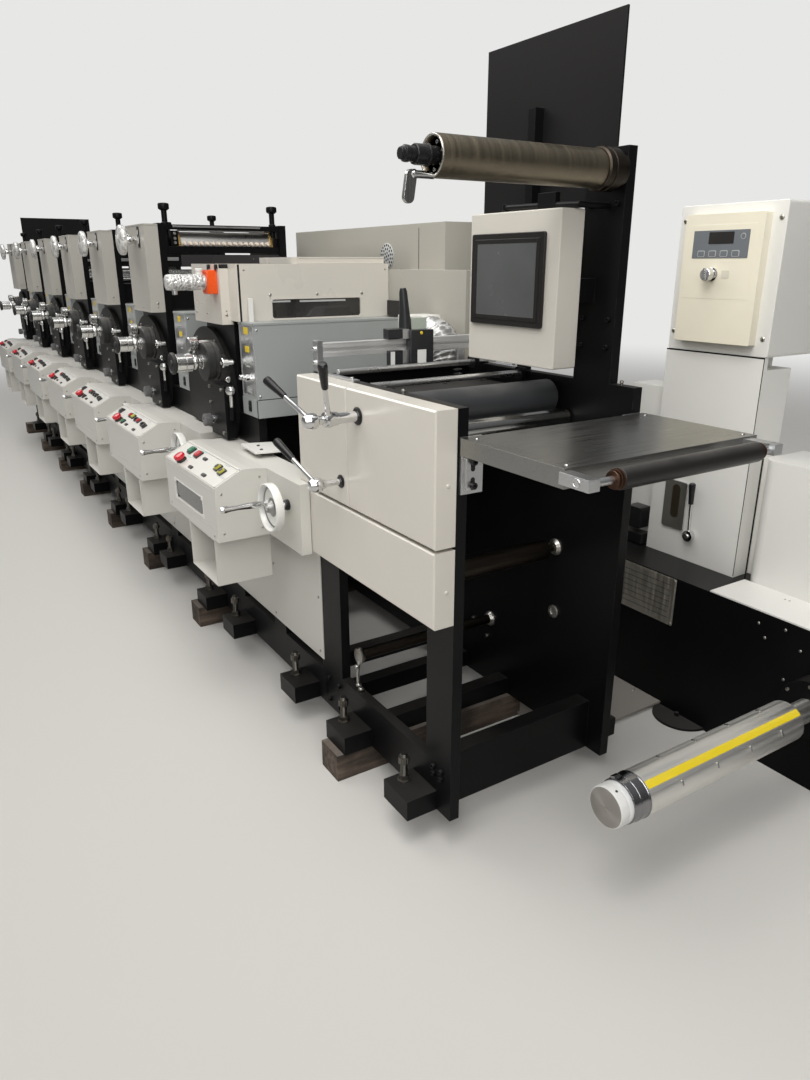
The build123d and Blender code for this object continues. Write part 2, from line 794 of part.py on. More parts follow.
def console(near_x, length, shelf, shelf_back_x):
    body = slab_x(CONSOLE_OUTLINE, near_x - length, near_x)
    body += block(
        near_x - length,
        near_x + shelf,
        CONSOLE_BACK,
        -COVER_DEPTH - COVER_SPLIT,
        CONSOLE_BOTTOM,
        CONSOLE_BACK_Z,
    )
    body += block(
        near_x - length,
        shelf_back_x,
        -COVER_DEPTH - COVER_SPLIT,
        0,
        CONSOLE_BOTTOM,
        CONSOLE_BACK_Z,
    )
    bore = rod_y(
        near_x + WHEEL_FROM_END,
        WHEEL_Z,
        WHEEL_SHAFT + BORE_CLEARANCE,
        CONSOLE_BACK - 1,
        CONSOLE_BACK + WHEEL_SHAFT_SEAT + LEVER_END_GAP,
    )
    return body - bore


first_console = console(
    FIRST_CONSOLE_X,
    FIRST_CONSOLE_LENGTH,
    FIRST_SHELF,
    -COVER_LENGTH - COVER_SPLIT,
)
window_x0, window_x1, window_z0, window_z1 = CONSOLE_WINDOW
first_console -= block(
    window_x0,
    window_x1,
    CONSOLE_FRONT - 1,
    CONSOLE_FRONT + WINDOW_RECESS,
    window_z0,
    window_z1,
)
press_console = console(
    CONSOLE_X, CONSOLE_LENGTH, CONSOLE_SHELF, CONSOLE_X + CONSOLE_SHELF
)
consoles = [first_console]
consoles.extend(moved(press_console, dx) for dx in UNIT_XS)
node("control_consoles", *consoles)

console_ends = [FIRST_CONSOLE_X] + [CONSOLE_X + dx for dx in UNIT_XS]
trays = []
for near_x in console_ends:
    tray_x1 = near_x - TRAY_NEAR
    tray_x0 = tray_x1 - TRAY_LENGTH
    tray = block(
        tray_x0, tray_x1, CONSOLE_FRONT, TRAY_BACK, TRAY_BOTTOM, CONSOLE_BOTTOM
    )
    tray -= block(
        tray_x0 + TRAY_SHEET,
        tray_x1 - TRAY_SHEET,
        CONSOLE_FRONT - 1,
        TRAY_BACK - TRAY_SHEET,
        TRAY_BOTTOM + TRAY_SHEET,
        CONSOLE_BOTTOM - TRAY_SHEET,
    )
    trays.append(tray)
node("console_trays", *trays)

# Emergency stops square to the slanted panel
panel_run = CONSOLE_RIDGE_Y - CONSOLE_FRONT
panel_rise = CONSOLE_RIDGE_Z - CONSOLE_LIP_Z
panel_length = math.hypot(panel_run, panel_rise)
panel_normal = Vector(0, -panel_rise / panel_length, panel_run / panel_length)
stop_y = CONSOLE_FRONT + STOP_UP_PANEL * panel_run / panel_length
stop_z = CONSOLE_LIP_Z + STOP_UP_PANEL * panel_rise / panel_length
low_align = (Align.CENTER, Align.CENTER, Align.MIN)
stops = []
for near_x in console_ends:
    seat = Plane(origin=(near_x - STOP_FROM_END, stop_y, stop_z), z_dir=panel_normal)
    base = seat * Cylinder(STOP_BASE, STOP_BASE_HEIGHT, align=low_align)
    cap = seat * Pos(0, 0, STOP_BASE_HEIGHT) * Cylinder(
        STOP_RADIUS, STOP_CAP_HEIGHT, align=low_align
    )
    stops.append(base + cap)
node("emergency_stops", *stops)


# Console handwheels: dished wheel with a turned handle
def handwheel(near_x):
    x = near_x + WHEEL_FROM_END
    front = WHEEL_BACK - WHEEL_THICK
    wheel = rod_y(x, WHEEL_Z, WHEEL_RADIUS, front, WHEEL_BACK)
    wheel -= rod_y(x, WHEEL_Z, WHEEL_BORE, front - 1, WHEEL_BACK - WHEEL_WEB)
    wheel += rod_y(x, WHEEL_Z, WHEEL_HUB, front, WHEEL_BACK)
    wheel += rod_y(
        x, WHEEL_Z, WHEEL_SHAFT, WHEEL_BACK - 1, CONSOLE_BACK + WHEEL_SHAFT_SEAT
    )
    handle_x = x - HANDLE_OFFSET
    wheel += rod_y(
        handle_x,
        WHEEL_Z,
        HANDLE_NECK,
        front - HANDLE_NECK_LENGTH,
        WHEEL_BACK - WHEEL_WEB / 2,
    )
    wheel += rod_y(
        handle_x, WHEEL_Z, HANDLE_GRIP, HANDLE_END, front - HANDLE_NECK_LENGTH + 1
    )
    return wheel


node("console_handwheel_1", handwheel(console_ends[0]))
node("console_handwheel_2", handwheel(console_ends[1]))
node("console_handwheels_far", *[handwheel(near_x) for near_x in console_ends[2:]])

# Base rails with slots under the skirts, tied across under each unit
slot_starts = [near_x + RAIL_SLOT_FROM_END for near_x in console_ends]
near_rail = block(LINE_END, -STAND_LENGTH, 0, PLATE, FRAME_BOTTOM, RAIL_TOP)
for slot_x in slot_starts:
    for slot_shift in (0.0, UNIT_PITCH / 2):
        near_rail -= block(
            slot_x - slot_shift - RAIL_SLOT_LENGTH,
            slot_x - slot_shift,
            -1,
            PLATE + 1,
            RAIL_TOP - RAIL_SLOT_DEPTH,
            RAIL_TOP + 1,
        )
far_rail = block(LINE_END, -STAND_LENGTH, INNER_FAR, FRAME_WIDTH, FRAME_BOTTOM, RAIL_TOP)
base = near_rail + far_rail
for near_x in console_ends + [LINE_END + CROSS_BAR]:
    base += block(
        near_x - CROSS_BAR,
        near_x,
        INNER_NEAR,
        INNER_FAR,
        FRAME_BOTTOM,
        FRAME_BOTTOM + CROSS_BAR_HEIGHT,
    )
node("base_rails", base)

skirt_ends = [-STAND_LENGTH] + [near_x + CONSOLE_SHELF for near_x in console_ends[1:]]
skirt_tails = [near_x + CONSOLE_SHELF for near_x in console_ends[1:]] + [LINE_END]
skirts = [
    block(
        tail + COVER_SPLIT,
        near_x,
        -SKIRT_SHEET,
        0,
        SKIRT_BOTTOM,
        CONSOLE_BOTTOM,
    )
    for near_x, tail in zip(skirt_ends, skirt_tails)
]
node("skirt_panels", *skirts)

# Levelling pads with their bolts, on both sides
pad_xs = list(STAND_PAD_XS)
for near_x in console_ends:
    pad_xs.extend((near_x + PAD_NEAR, near_x + PAD_FAR))
pads = []
for pad_x in pad_xs:
    for pad_y0 in (-PAD_DEPTH, FRAME_WIDTH):
        pad_mid = pad_y0 + PAD_DEPTH / 2
        pad = block(
            pad_x - PAD_BACK,
            pad_x - PAD_BACK + PAD_LENGTH,
            pad_y0,
            pad_y0 + PAD_DEPTH,
            FRAME_BOTTOM,
            FRAME_BOTTOM + PAD_HEIGHT,
        )
        pad += rod_z(pad_x, pad_mid, PAD_BOLT, FRAME_BOTTOM + PAD_HEIGHT, PAD_BOLT_TOP)
        nut = extrude(RegularPolygon(PAD_NUT, 6), amount=PAD_NUT_HEIGHT)
        pad += Pos(pad_x, pad_mid, PAD_NUT_Z) * nut
        pads.append(pad)
node("levelling_pads", *pads)

packer_xs = [PACKER_X] + [near_x + PACKER_FROM_END for near_x in console_ends[1:]]
packer_xs.append(LINE_END + LAST_PACKER_FROM_TAIL)
packers = [
    block(
        x - PACKER_WIDTH / 2,
        x + PACKER_WIDTH / 2,
        -PACKER_OVERHANG,
        FRAME_WIDTH + PAD_DEPTH,
        0,
        PACKER_HEIGHT,
    )
    for x in packer_xs
]
node("timber_packers", *packers)

# Varnishing unit: stepped plates, window hood, side cover and valve motor
varnish_outline = [
    (VARNISH_X0, RAIL_TOP),
    (VARNISH_FOOT_X, RAIL_TOP),
    (VARNISH_FOOT_X, VARNISH_SHELF_Z),
    (VARNISH_STEP_X, VARNISH_SHELF_Z),
    (VARNISH_STEP_X, VARNISH_STEP_Z),
    (VARNISH_X1, VARNISH_STEP_Z),
    (VARNISH_X1, VARNISH_TOP),
    (VARNISH_X0, VARNISH_TOP),
]
node(
    "varnish_unit_plates",
    slab_y(varnish_outline, 0, PLATE),
    slab_y(varnish_outline, INNER_FAR, FRAME_WIDTH),
)
hood = block(
    VARNISH_X1,
    HOOD_NEAR_X,
    -HOOD_OVERHANG,
    FRAME_WIDTH + HOOD_OVERHANG,
    HOOD_BOTTOM,
    VARNISH_TOP,
)
hood_y0, hood_y1, hood_z0, hood_z1 = HOOD_WINDOW
hood -= block(
    HOOD_NEAR_X - HOOD_RECESS, HOOD_NEAR_X + 1, hood_y0, hood_y1, hood_z0, hood_z1
)
lid = block(
    VARNISH_X0, HOOD_LID_X, HOOD_LID_Y, FRAME_WIDTH, VARNISH_TOP, VARNISH_TOP + HOOD_LID
)
side_cover = block(
    VARNISH_X0, VARNISH_X1, -SIDE_COVER_DEPTH, 0, SIDE_COVER_BOTTOM, VARNISH_TOP
)
node("varnish_unit_covers", hood + lid + side_cover)
valve = block(
    VALVE_X - VALVE_WIDTH / 2,
    VALVE_X + VALVE_WIDTH / 2,
    -SIDE_COVER_DEPTH - VALVE_DEPTH,
    -SIDE_COVER_DEPTH,
    VALVE_Z0,
    VALVE_Z1,
)
motor_back = -SIDE_COVER_DEPTH - VALVE_DEPTH
motor = rod_y(
    VALVE_X, (VALVE_Z0 + VALVE_Z1) / 2, MOTOR_RADIUS, motor_back - MOTOR_LENGTH, motor_back
)
node("valve_box", valve)
node("valve_motor", motor)

# Drying housings across the front of each unit
dryers = [
    block(
        FIRST_DRYER_X - FIRST_DRYER_DEPTH,
        FIRST_DRYER_X,
        0,
        DRYER_WIDTH,
        DRYER_BOTTOM,
        DRYER_TOP,
    )
]
for dx in UNIT_XS:
    dryers.append(
        block(
            DRYER_X + dx - DRYER_DEPTH,
            DRYER_X + dx,
            0,
            DRYER_WIDTH,
            DRYER_BOTTOM,
            DRYER_TOP,
        )
    )
node("drying_housings", *dryers)

# Exhaust duct: outlet box on the far cabinet's face, hose bent down behind the rail
start_x, start_z = DUCT_START
bend_x, bend_z = DUCT_BEND
duct_x, duct_z = DUCT_END
duct_line = Spline(
    (start_x, DUCT_Y, start_z),
    (bend_x, DUCT_Y, bend_z),
    (duct_x, DUCT_Y, duct_z),
    tangents=((1, 0, 0), (0, 0, -1)),
)
duct_mouth = Plane(origin=(start_x, DUCT_Y, start_z), z_dir=(1, 0, 0))
duct = sweep(duct_mouth * Circle(DUCT_RADIUS), path=duct_line)
box_back = FRAME_WIDTH + HOOD_OVERHANG
duct += block(
    start_x - DUCT_BOX_LENGTH,
    start_x,
    box_back - DUCT_BOX_DEPTH,
    box_back,
    start_z - DUCT_BOX_HEIGHT / 2,
    start_z + DUCT_BOX_HEIGHT / 2,
)
node("exhaust_duct", duct)

# White feed plate on a seat that stands on the operator side plate's shelf
feed_z = VARNISH_SHELF_Z + FEED_SEAT_HEIGHT
feed_plate = Pos(0, 0, feed_z) * extrude(
    make_face(Polyline(*FEED_OUTLINE, close=True)), FEED_SHEET
)
feed_plate += block(*FEED_SEAT, 0, PLATE, VARNISH_SHELF_Z, feed_z + 1)
node("feed_plate", feed_plate)

# Letterpress frames: two stepped plates tied by beams over the fountain
press_outline = [
    (PRESS_X - PRESS_LENGTH, RAIL_TOP),
    (PRESS_FOOT_X, RAIL_TOP),
    (PRESS_FOOT_X, PRESS_STEP_Z),
    (PRESS_X, PRESS_STEP_Z),
    (PRESS_X, PRESS_TOP),
    (PRESS_X - PRESS_LENGTH, PRESS_TOP),
]
press = slab_y(press_outline, 0, PLATE) + slab_y(press_outline, INNER_FAR, FRAME_WIDTH)
beam_x1 = PRESS_X - BEAM_BACK
for beam_z0, beam_z1 in (TOP_BEAM, LOW_BEAM, PANEL_BEAM):
    press += block(
        beam_x1 - BEAM_DEPTH, beam_x1, INNER_NEAR, INNER_FAR, beam_z0, beam_z1
    )
node("letterpress_frames", *[moved(press, dx) for dx in UNIT_XS])

# Dark interiors: the closed body of gears and cylinders between the plates
varnish_interior = block(
    VARNISH_X0 + INTERIOR_BACK,
    VARNISH_X1 - COVER_SPLIT,
    INNER_NEAR,
    INNER_FAR,
    RAIL_TOP,
    VARNISH_TOP - INTERIOR_BACK,
)
varnish_interior += block(
    VARNISH_X1 - COVER_SPLIT,
    FIRST_DRYER_X - FIRST_DRYER_DEPTH,
    INNER_NEAR,
    INNER_FAR,
    DRYER_BOTTOM,
    HOOD_BOTTOM,
)
press_interior = block(
    PRESS_X - PRESS_LENGTH + INTERIOR_BACK,
    PRESS_X - INTERIOR_GAP,
    INNER_NEAR,
    INNER_FAR,
    RAIL_TOP,
    INTERIOR_TOP,
)
press_interior += block(
    PRESS_X - INTERIOR_GAP,
    DRYER_X - DRYER_DEPTH,
    INNER_NEAR,
    INNER_FAR,
    DRYER_BOTTOM,
    DRYER_TOP,
)
interiors = [varnish_interior]
interiors.extend(moved(press_interior, dx) for dx in UNIT_XS)
node("press_interiors", *interiors)

# Tower covers on the operator side, bored for the wheel shaft
wheel_x = PRESS_X - TOWER_WHEEL_BACK
tower = block(
    PRESS_X - TOWER_LENGTH, PRESS_X, -TOWER_DEPTH, 0, TOWER_BOTTOM, TOWER_TOP
)
tower -= rod_y(
    wheel_x, TOWER_WHEEL_Z, TOWER_SHAFT + BORE_CLEARANCE, -TOWER_DEPTH - 1, 1
)
node("tower_covers", *[moved(tower, dx) for dx in UNIT_XS])

tower_front = TOWER_WHEEL_Y - TOWER_WHEEL_THICK
tower_wheel = rod_y(
    wheel_x, TOWER_WHEEL_Z, TOWER_WHEEL_RADIUS, tower_front, TOWER_WHEEL_Y
)
tower_wheel += rod_y(
    wheel_x, TOWER_WHEEL_Z, TOWER_COLLAR, TOWER_WHEEL_Y, -TOWER_DEPTH - TURNING_GAP
)
tower_wheel += rod_y(
    wheel_x, TOWER_WHEEL_Z, TOWER_SHAFT, TOWER_WHEEL_Y, -LEVER_END_GAP
)
node("tower_handwheel_1", tower_wheel)
node("tower_handwheel_2", moved(tower_wheel, UNIT_XS[1]))
node("tower_handwheels_far", *[moved(tower_wheel, dx) for dx in UNIT_XS[2:]])

# Lifting rods with round knobs standing beside both plates
knob_rods = []
rod_x_mid = PRESS_X - ROD_BACK
for dx in UNIT_XS:
    for rod_at in (ROD_INSET, FRAME_WIDTH - ROD_INSET):
        lifting = rod_z(rod_x_mid + dx, rod_at, ROD_RADIUS, TOP_BEAM[1], ROD_TOP)
        lifting += rod_z(
            rod_x_mid + dx, rod_at, KNOB_RADIUS, ROD_TOP, ROD_TOP + KNOB_HEIGHT
        )
        knob_rods.append(lifting)
node("lifting_rods", *knob_rods)

# Ink fountains: trough with a sloping front between brass ends, roller behind
fountain_x0 = PRESS_X - FOUNTAIN_BACK
fountain_x1 = PRESS_X - FOUNTAIN_FRONT
trough_outline = [
    (fountain_x0, FOUNTAIN_BOTTOM),
    (fountain_x1, FOUNTAIN_BOTTOM),
    (fountain_x1 - FOUNTAIN_SLOPE, FOUNTAIN_TOP),
    (fountain_x0, FOUNTAIN_TOP),
]
trough = slab_y(trough_outline, FOUNTAIN_START, FOUNTAIN_END)
brass_ends = [
    slab_y(trough_outline, FOUNTAIN_START - BRASS, FOUNTAIN_START),
    slab_y(trough_outline, FOUNTAIN_END, FOUNTAIN_END + BRASS),
]
node("ink_fountain_troughs", *[moved(trough, dx) for dx in UNIT_XS])
node(
    "fountain_brass_ends",
    *[moved(end, dx) for dx in UNIT_XS for end in brass_ends],
)
ink_roller_x = PRESS_X - INK_ROLLER_BACK
ink_rods = [
    rod_y(
        ink_roller_x, FOUNTAIN_TOP - INK_ROLLER, INK_ROLLER, INNER_NEAR, INNER_FAR
    )
]
for rail_z in RAIL_ROD_ZS:
    ink_rods.append(
        rod_y(beam_x1 - BEAM_DEPTH / 2, rail_z, RAIL_ROD, INNER_NEAR, INNER_FAR)
    )
node("fountain_rollers", *[moved(rod, dx) for dx in UNIT_XS for rod in ink_rods])


# Round black drum guards, cut flat above the console shelf
def guard(near_x):
    disc = rod_y(near_x - GUARD_BACK, GUARD_Z, GUARD_RADIUS, -GUARD_SHEET, 0)
    waste = block(
        near_x - GUARD_BACK - GUARD_RADIUS - 1,
        near_x - GUARD_BACK + GUARD_RADIUS + 1,
        -GUARD_SHEET - 1,
        1,
        GUARD_Z - GUARD_RADIUS - 1,
        GUARD_CUT,
    )
    return disc - waste


plate_ends = [VARNISH_X1] + [PRESS_X + dx for dx in UNIT_XS]
node("drum_guards", *[guard(near_x) for near_x in plate_ends])

# Register drives: black disc, steel couplings and sleeve toward the operator
def adjusting_knob(x, seat_y):
    grip_y = seat_y - KNOB_NECK_LENGTH
    end_y = grip_y - KNOB_GRIP_LENGTH
    knob = rod_y(x, KNOB_Z, KNOB_NECK, grip_y - 1, seat_y)
    knob += rod_y(x, KNOB_Z, KNOB_GRIP, end_y, grip_y)
    for index in range(KNOB_RIBS):
        turn = math.radians(360 / KNOB_RIBS * index)
        rib_x = x + KNOB_GRIP * math.cos(turn)
        rib_z = KNOB_Z + KNOB_GRIP * math.sin(turn)
        knob -= rod_y(rib_x, rib_z, KNOB_RIB, end_y - 1, grip_y + 1)
    return knob


discs = []
couplings = []
stands = []
knobs = []
for near_x in plate_ends:
    x = near_x - REGISTER_BACK
    disc = rod_y(x, REGISTER_Z, REGISTER_DISC, *REGISTER_DISC_Y)
    disc += rod_y(x, REGISTER_Z, REGISTER_HUB, REGISTER_DISC_Y[1], -GUARD_SHEET)
    discs.append(disc)
    steel = rod_y(x, REGISTER_Z, COUPLING, COUPLING_END, REGISTER_DISC_Y[0])
    steel += rod_y(x, REGISTER_Z, SLEEVE, SLEEVE_END, COUPLING_END)
    couplings.append(steel)
    discs.append(rod_y(x, REGISTER_Z, END_DISC, END_DISC_END, SLEEVE_END))
    stand_x0, stand_x1, stand_z0, stand_z1 = BRACKET_STAND
    stand_front = -GUARD_SHEET - BRACKET_STAND_DEPTH
    stands.append(
        block(
            near_x + stand_x0,
            near_x + stand_x1,
            stand_front,
            -GUARD_SHEET,
            stand_z0,
            stand_z1,
        )
    )
    ball_x = near_x + stand_x1 + BALL_SEAT
    ball_y = (stand_front - GUARD_SHEET) / 2
    ball = Pos(ball_x, ball_y, BALL_Z) * Sphere(BALL_RADIUS)
    ball -= block(
        ball_x - BALL_RADIUS,
        near_x + stand_x1,
        ball_y - BALL_RADIUS,
        ball_y + BALL_RADIUS,
        BALL_Z - BALL_RADIUS,
        BALL_Z + BALL_RADIUS,
    )
    ball += rod_z(ball_x, ball_y, BALL_STEM, BALL_STEM_END, BALL_Z)
    couplings.append(ball)
    stands.append(rod_z(ball_x, ball_y, BALL_GRIP, BALL_GRIP_END, BALL_STEM_END))
    knobs.append(adjusting_knob(near_x - KNOB_FROM_END, stand_front))
node("register_discs", *discs)
node("register_couplings", *couplings)
node("impression_brackets", *stands)
node("adjusting_knobs", *knobs)

# Drive side: gear cover of each unit, duct box and the tall cabinet
gear_ends = [near_x + CONSOLE_SHELF for near_x in console_ends]
gear_ends[0] = -STAND_LENGTH
gear_tails = gear_ends[1:] + [LINE_END]
gear_covers = [
    block(
        tail + GEAR_COVER_GAP,
        near_x,
        FRAME_WIDTH,
        FRAME_WIDTH + GEAR_COVER_DEPTH,
        GEAR_COVER_BOTTOM,
        GEAR_COVER_TOP,
    )
    for near_x, tail in zip(gear_ends, gear_tails)
]
node("gear_covers", *gear_covers)
duct_x0, duct_x1, duct_z1 = DUCT_CABINET
tall_x0, tall_x1, tall_z1 = TALL_CABINET
cabinet_y = FRAME_WIDTH + GEAR_COVER_DEPTH
duct_box = block(
    duct_x0, duct_x1, FRAME_WIDTH + HOOD_OVERHANG, cabinet_y, GEAR_COVER_TOP, duct_z1
)
tall = block(tall_x0, tall_x1, cabinet_y, cabinet_y + TALL_CABINET_DEPTH, 0, tall_z1)
node("drive_side_cabinets", duct_box + tall)

# Unwind stand: black base with the shaft hub, off-white covers above
unwind_y1 = UNWIND_Y + UNWIND_DEPTH
unwind = block(UNWIND_X0, UNWIND_X1, UNWIND_Y, unwind_y1, 0, UNWIND_BASE_TOP)
unwind += rod_y(SHAFT_X, SHAFT_Z, SHAFT_HUB, UNWIND_Y - SHAFT_HUB_LENGTH, UNWIND_Y)
unwind -= rod_y(
    SHAFT_X,
    SHAFT_Z,
    SHAFT_JOURNAL + BORE_CLEARANCE,
    SHAFT_ROOT,
    SHAFT_ROOT + SHAFT_JOURNAL_LENGTH + LEVER_END_GAP,
)
node("unwind_base", unwind)
tall_cover_x0, tall_cover_x1, tall_cover_z1 = TALL_COVER
side_x0, side_y0, side_z1 = SIDE_COVER
back_y0, back_z1 = BACK_COVER
cover_back = TALL_COVER_Y + TALL_COVER_DEPTH
unwind_covers = block(
    tall_cover_x0,
    tall_cover_x1,
    TALL_COVER_Y,
    cover_back,
    UNWIND_BASE_TOP,
    TALL_COVER_BACK_TOP,
)
unwind_covers += block(
    tall_cover_x0,
    tall_cover_x1,
    TALL_COVER_Y,
    TALL_COVER_Y + TALL_COVER_FRONT,
    TALL_COVER_BACK_TOP,
    tall_cover_z1,
)
neck_x0, neck_x1 = TENSION_NECK
unwind_covers += block(
    neck_x0, neck_x1, TALL_COVER_Y, cover_back, TALL_COVER_BACK_TOP, tall_cover_z1
)
unwind_covers += block(
    side_x0, tall_cover_x0, side_y0, cover_back, UNWIND_BASE_TOP, side_z1
)
round_y0 = UNWIND_Y + LEDGE_DEPTH
back_cover = block(
    tall_cover_x1,
    LEDGE_X - COVER_SPLIT,
    back_y0,
    cover_back,
    UNWIND_BASE_TOP,
    back_z1,
)
unwind_covers += back_cover
ledge = block(
    LEDGE_X,
    UNWIND_X1,
    UNWIND_Y,
    round_y0,
    UNWIND_BASE_TOP,
    UNWIND_BASE_TOP + LEDGE_SHEET,
)
round_cover = block(
    LEDGE_X,
    ROUND_COVER_X1,
    round_y0,
    round_y0 + ROUND_COVER_DEPTH,
    UNWIND_BASE_TOP,
    ROUND_COVER_TOP,
)
front_corners = round_cover.edges().filter_by(Axis.Z).group_by(Axis.Y)[0]
round_cover = fillet(front_corners, ROUND_COVER_CORNER)
node("unwind_covers", unwind_covers, ledge + round_cover)

tension = block(
    tall_cover_x0,
    tall_cover_x1,
    TALL_COVER_Y,
    TALL_COVER_Y + TENSION_DEPTH,
    tall_cover_z1,
    TENSION_TOP,
)
node("tension_control_box", tension)
face_x, face_z, face_width, face_height = TENSION_FACE
node(
    "tension_control_panel",
    block(
        tall_cover_x0 + face_x,
        tall_cover_x0 + face_x + face_width,
        TALL_COVER_Y - TENSION_FACE_DEPTH,
        TALL_COVER_Y,
        tall_cover_z1 + face_z,
        tall_cover_z1 + face_z + face_height,
    ),
)

# Brake lever on a short pivot in front of the tall cover
brake_y1 = TALL_COVER_Y - TURNING_GAP
brake_y0 = brake_y1 - BRAKE_BOSS_DEPTH
brake_mid = (brake_y0 + brake_y1) / 2
brake = rod_y(BRAKE_X, BRAKE_Z, BRAKE_BOSS, brake_y0, brake_y1)
grip_z = BRAKE_Z + BRAKE_LENGTH - BRAKE_GRIP_LENGTH
brake += rod_z(BRAKE_X, brake_mid, BRAKE_STEM, BRAKE_Z, grip_z)
brake += Pos(BRAKE_X, brake_mid, grip_z + BRAKE_GRIP_LENGTH / 2) * Cone(
    BRAKE_GRIP_START, BRAKE_GRIP, BRAKE_GRIP_LENGTH
)
brake -= rod_y(
    BRAKE_X, BRAKE_Z, LEVER_SHAFT + BORE_CLEARANCE, brake_y0 - 1, brake_y1 + 1
)
node("brake_lever", brake)
node(
    "brake_pivot",
    rod_y(BRAKE_X, BRAKE_Z, LEVER_SHAFT, brake_y0 - LEVER_END_GAP, TALL_COVER_Y),
)

# Air shaft held at one end, with its end cap
air = rod_y(SHAFT_X, SHAFT_Z, SHAFT_RADIUS, SHAFT_TIP, SHAFT_ROOT)
air += rod_y(SHAFT_X, SHAFT_Z, SHAFT_CAP, SHAFT_TIP - SHAFT_CAP_LENGTH, SHAFT_TIP)
air += rod_y(
    SHAFT_X,
    SHAFT_Z,
    SHAFT_JOURNAL,
    SHAFT_ROOT,
    SHAFT_ROOT + SHAFT_JOURNAL_LENGTH,
)
node("air_shaft", air)

# Floor tie plate between the outfeed stand and the unwind stand
tie = block(TIE_X0, TIE_X1, FRAME_WIDTH, UNWIND_Y, TIE_BOTTOM, TIE_BOTTOM + TIE_SHEET)
tie += block(
    TIE_UP_X0,
    TIE_UP_X1,
    FRAME_WIDTH,
    FRAME_WIDTH + TIE_SHEET,
    TIE_BOTTOM,
    TIE_UPSTAND,
)
node("floor_tie_plate", tie)

# Everything moves so that the middle of the footprint is the origin
everything = Compound([solid for part in NODES.values() for solid in part])
extent = everything.bounding_box()
shift = Pos(
    -(extent.min.X + extent.max.X) / 2, -(extent.min.Y + extent.max.Y) / 2, -extent.min.Z
)
for name, solids in NODES.items():
    shape = Compound([shift * solid for solid in solids])
    shape.label = name
    export_step(shape, f"parts/{name}.step")
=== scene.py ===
# Narrow web letterpress line: outfeed stand, varnishing unit, six printing units and unwind stand.
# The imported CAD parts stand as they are, and the fine work of the real machine is built onto them.
import math

import bmesh
import bpy
from mathutils import Matrix, Vector


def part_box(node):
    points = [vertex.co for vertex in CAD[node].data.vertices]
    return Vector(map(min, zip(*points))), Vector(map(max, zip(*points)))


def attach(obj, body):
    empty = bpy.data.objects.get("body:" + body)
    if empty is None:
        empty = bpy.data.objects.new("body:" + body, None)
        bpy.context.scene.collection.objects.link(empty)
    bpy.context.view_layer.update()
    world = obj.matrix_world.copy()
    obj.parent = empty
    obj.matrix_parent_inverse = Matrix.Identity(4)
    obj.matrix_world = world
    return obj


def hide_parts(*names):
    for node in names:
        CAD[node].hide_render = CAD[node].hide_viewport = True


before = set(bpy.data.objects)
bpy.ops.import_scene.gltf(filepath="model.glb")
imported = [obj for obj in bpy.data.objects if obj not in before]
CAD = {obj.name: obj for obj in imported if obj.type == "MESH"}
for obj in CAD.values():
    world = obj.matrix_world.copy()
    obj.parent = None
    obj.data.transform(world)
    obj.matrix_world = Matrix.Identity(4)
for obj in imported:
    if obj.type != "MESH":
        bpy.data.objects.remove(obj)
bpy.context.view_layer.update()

# Room: a pale floor and an even pale surround, two soft ceiling lights, a low fill and a small
# light over the unwind stand. The camera stands at eye height beside the outfeed end. Places are
# in millimetres from the stand's end face, the operator side plate and the floor.
END_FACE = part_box("outfeed_stand_frame")[1].x
PLATE_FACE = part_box("outfeed_stand_frame")[0].y


def spot(x, y, z):
    """A place on the machine, in metres in the shared frame."""
    return Vector((END_FACE + x / 1000, PLATE_FACE + y / 1000, z / 1000))


def add_node(tree, kind, settings=None, sockets=None):
    """A shader node with its settings; a socket's value is a number, a colour or another socket."""
    made = tree.nodes.new(kind)
    for key, value in (settings or {}).items():
        setattr(made, key, value)
    for key, value in (sockets or {}).items():
        if isinstance(value, bpy.types.NodeSocket):
            tree.links.new(value, made.inputs[key])
        else:
            made.inputs[key].default_value = value
    return made


def maths(tree, work, *values, kind="Math", out=0):
    """The result of one calculation; the values are numbers, vectors or sockets."""
    made = add_node(tree, "ShaderNode" + kind, {"operation": work}, dict(enumerate(values)))
    return made.outputs[out]


def background_rays(tree):
    """1 for the rays that should meet the plain background: seen directly or through glass."""
    path = add_node(tree, "ShaderNodeLightPath")
    return maths(
        tree, "MAXIMUM", path.outputs["Is Camera Ray"], path.outputs["Is Transmission Ray"]
    )


def span(tree, value, low, high, start=0.3, end=0.7, step="LINEAR"):
    """A value between start and end brought to low and high."""
    limits = {"Value": value, "From Min": start, "From Max": end, "To Min": low, "To Max": high}
    made = add_node(tree, "ShaderNodeMapRange", {"interpolation_type": step}, limits)
    return made.outputs[0]


def blend_colour(tree, factor, first, second):
    """Two colours mixed by a factor; each is three numbers or a socket."""
    ends = [c if isinstance(c, bpy.types.NodeSocket) else (*c, 1.0) for c in (first, second)]
    made = add_node(
        tree, "ShaderNodeMix", {"data_type": "RGBA"}, {0: factor, 6: ends[0], 7: ends[1]}
    )
    return made.outputs[2]


def mixed(tree, factor, first, second):
    """Two shaders mixed by a factor and passed on."""
    sockets = {0: factor, 1: first.outputs[0], 2: second.outputs[0]}
    return add_node(tree, "ShaderNodeMixShader", {}, sockets).outputs[0]


def blank_material(name):
    material = bpy.data.materials.new(name)
    material.use_nodes = True
    material.node_tree.nodes.clear()
    return material, material.node_tree


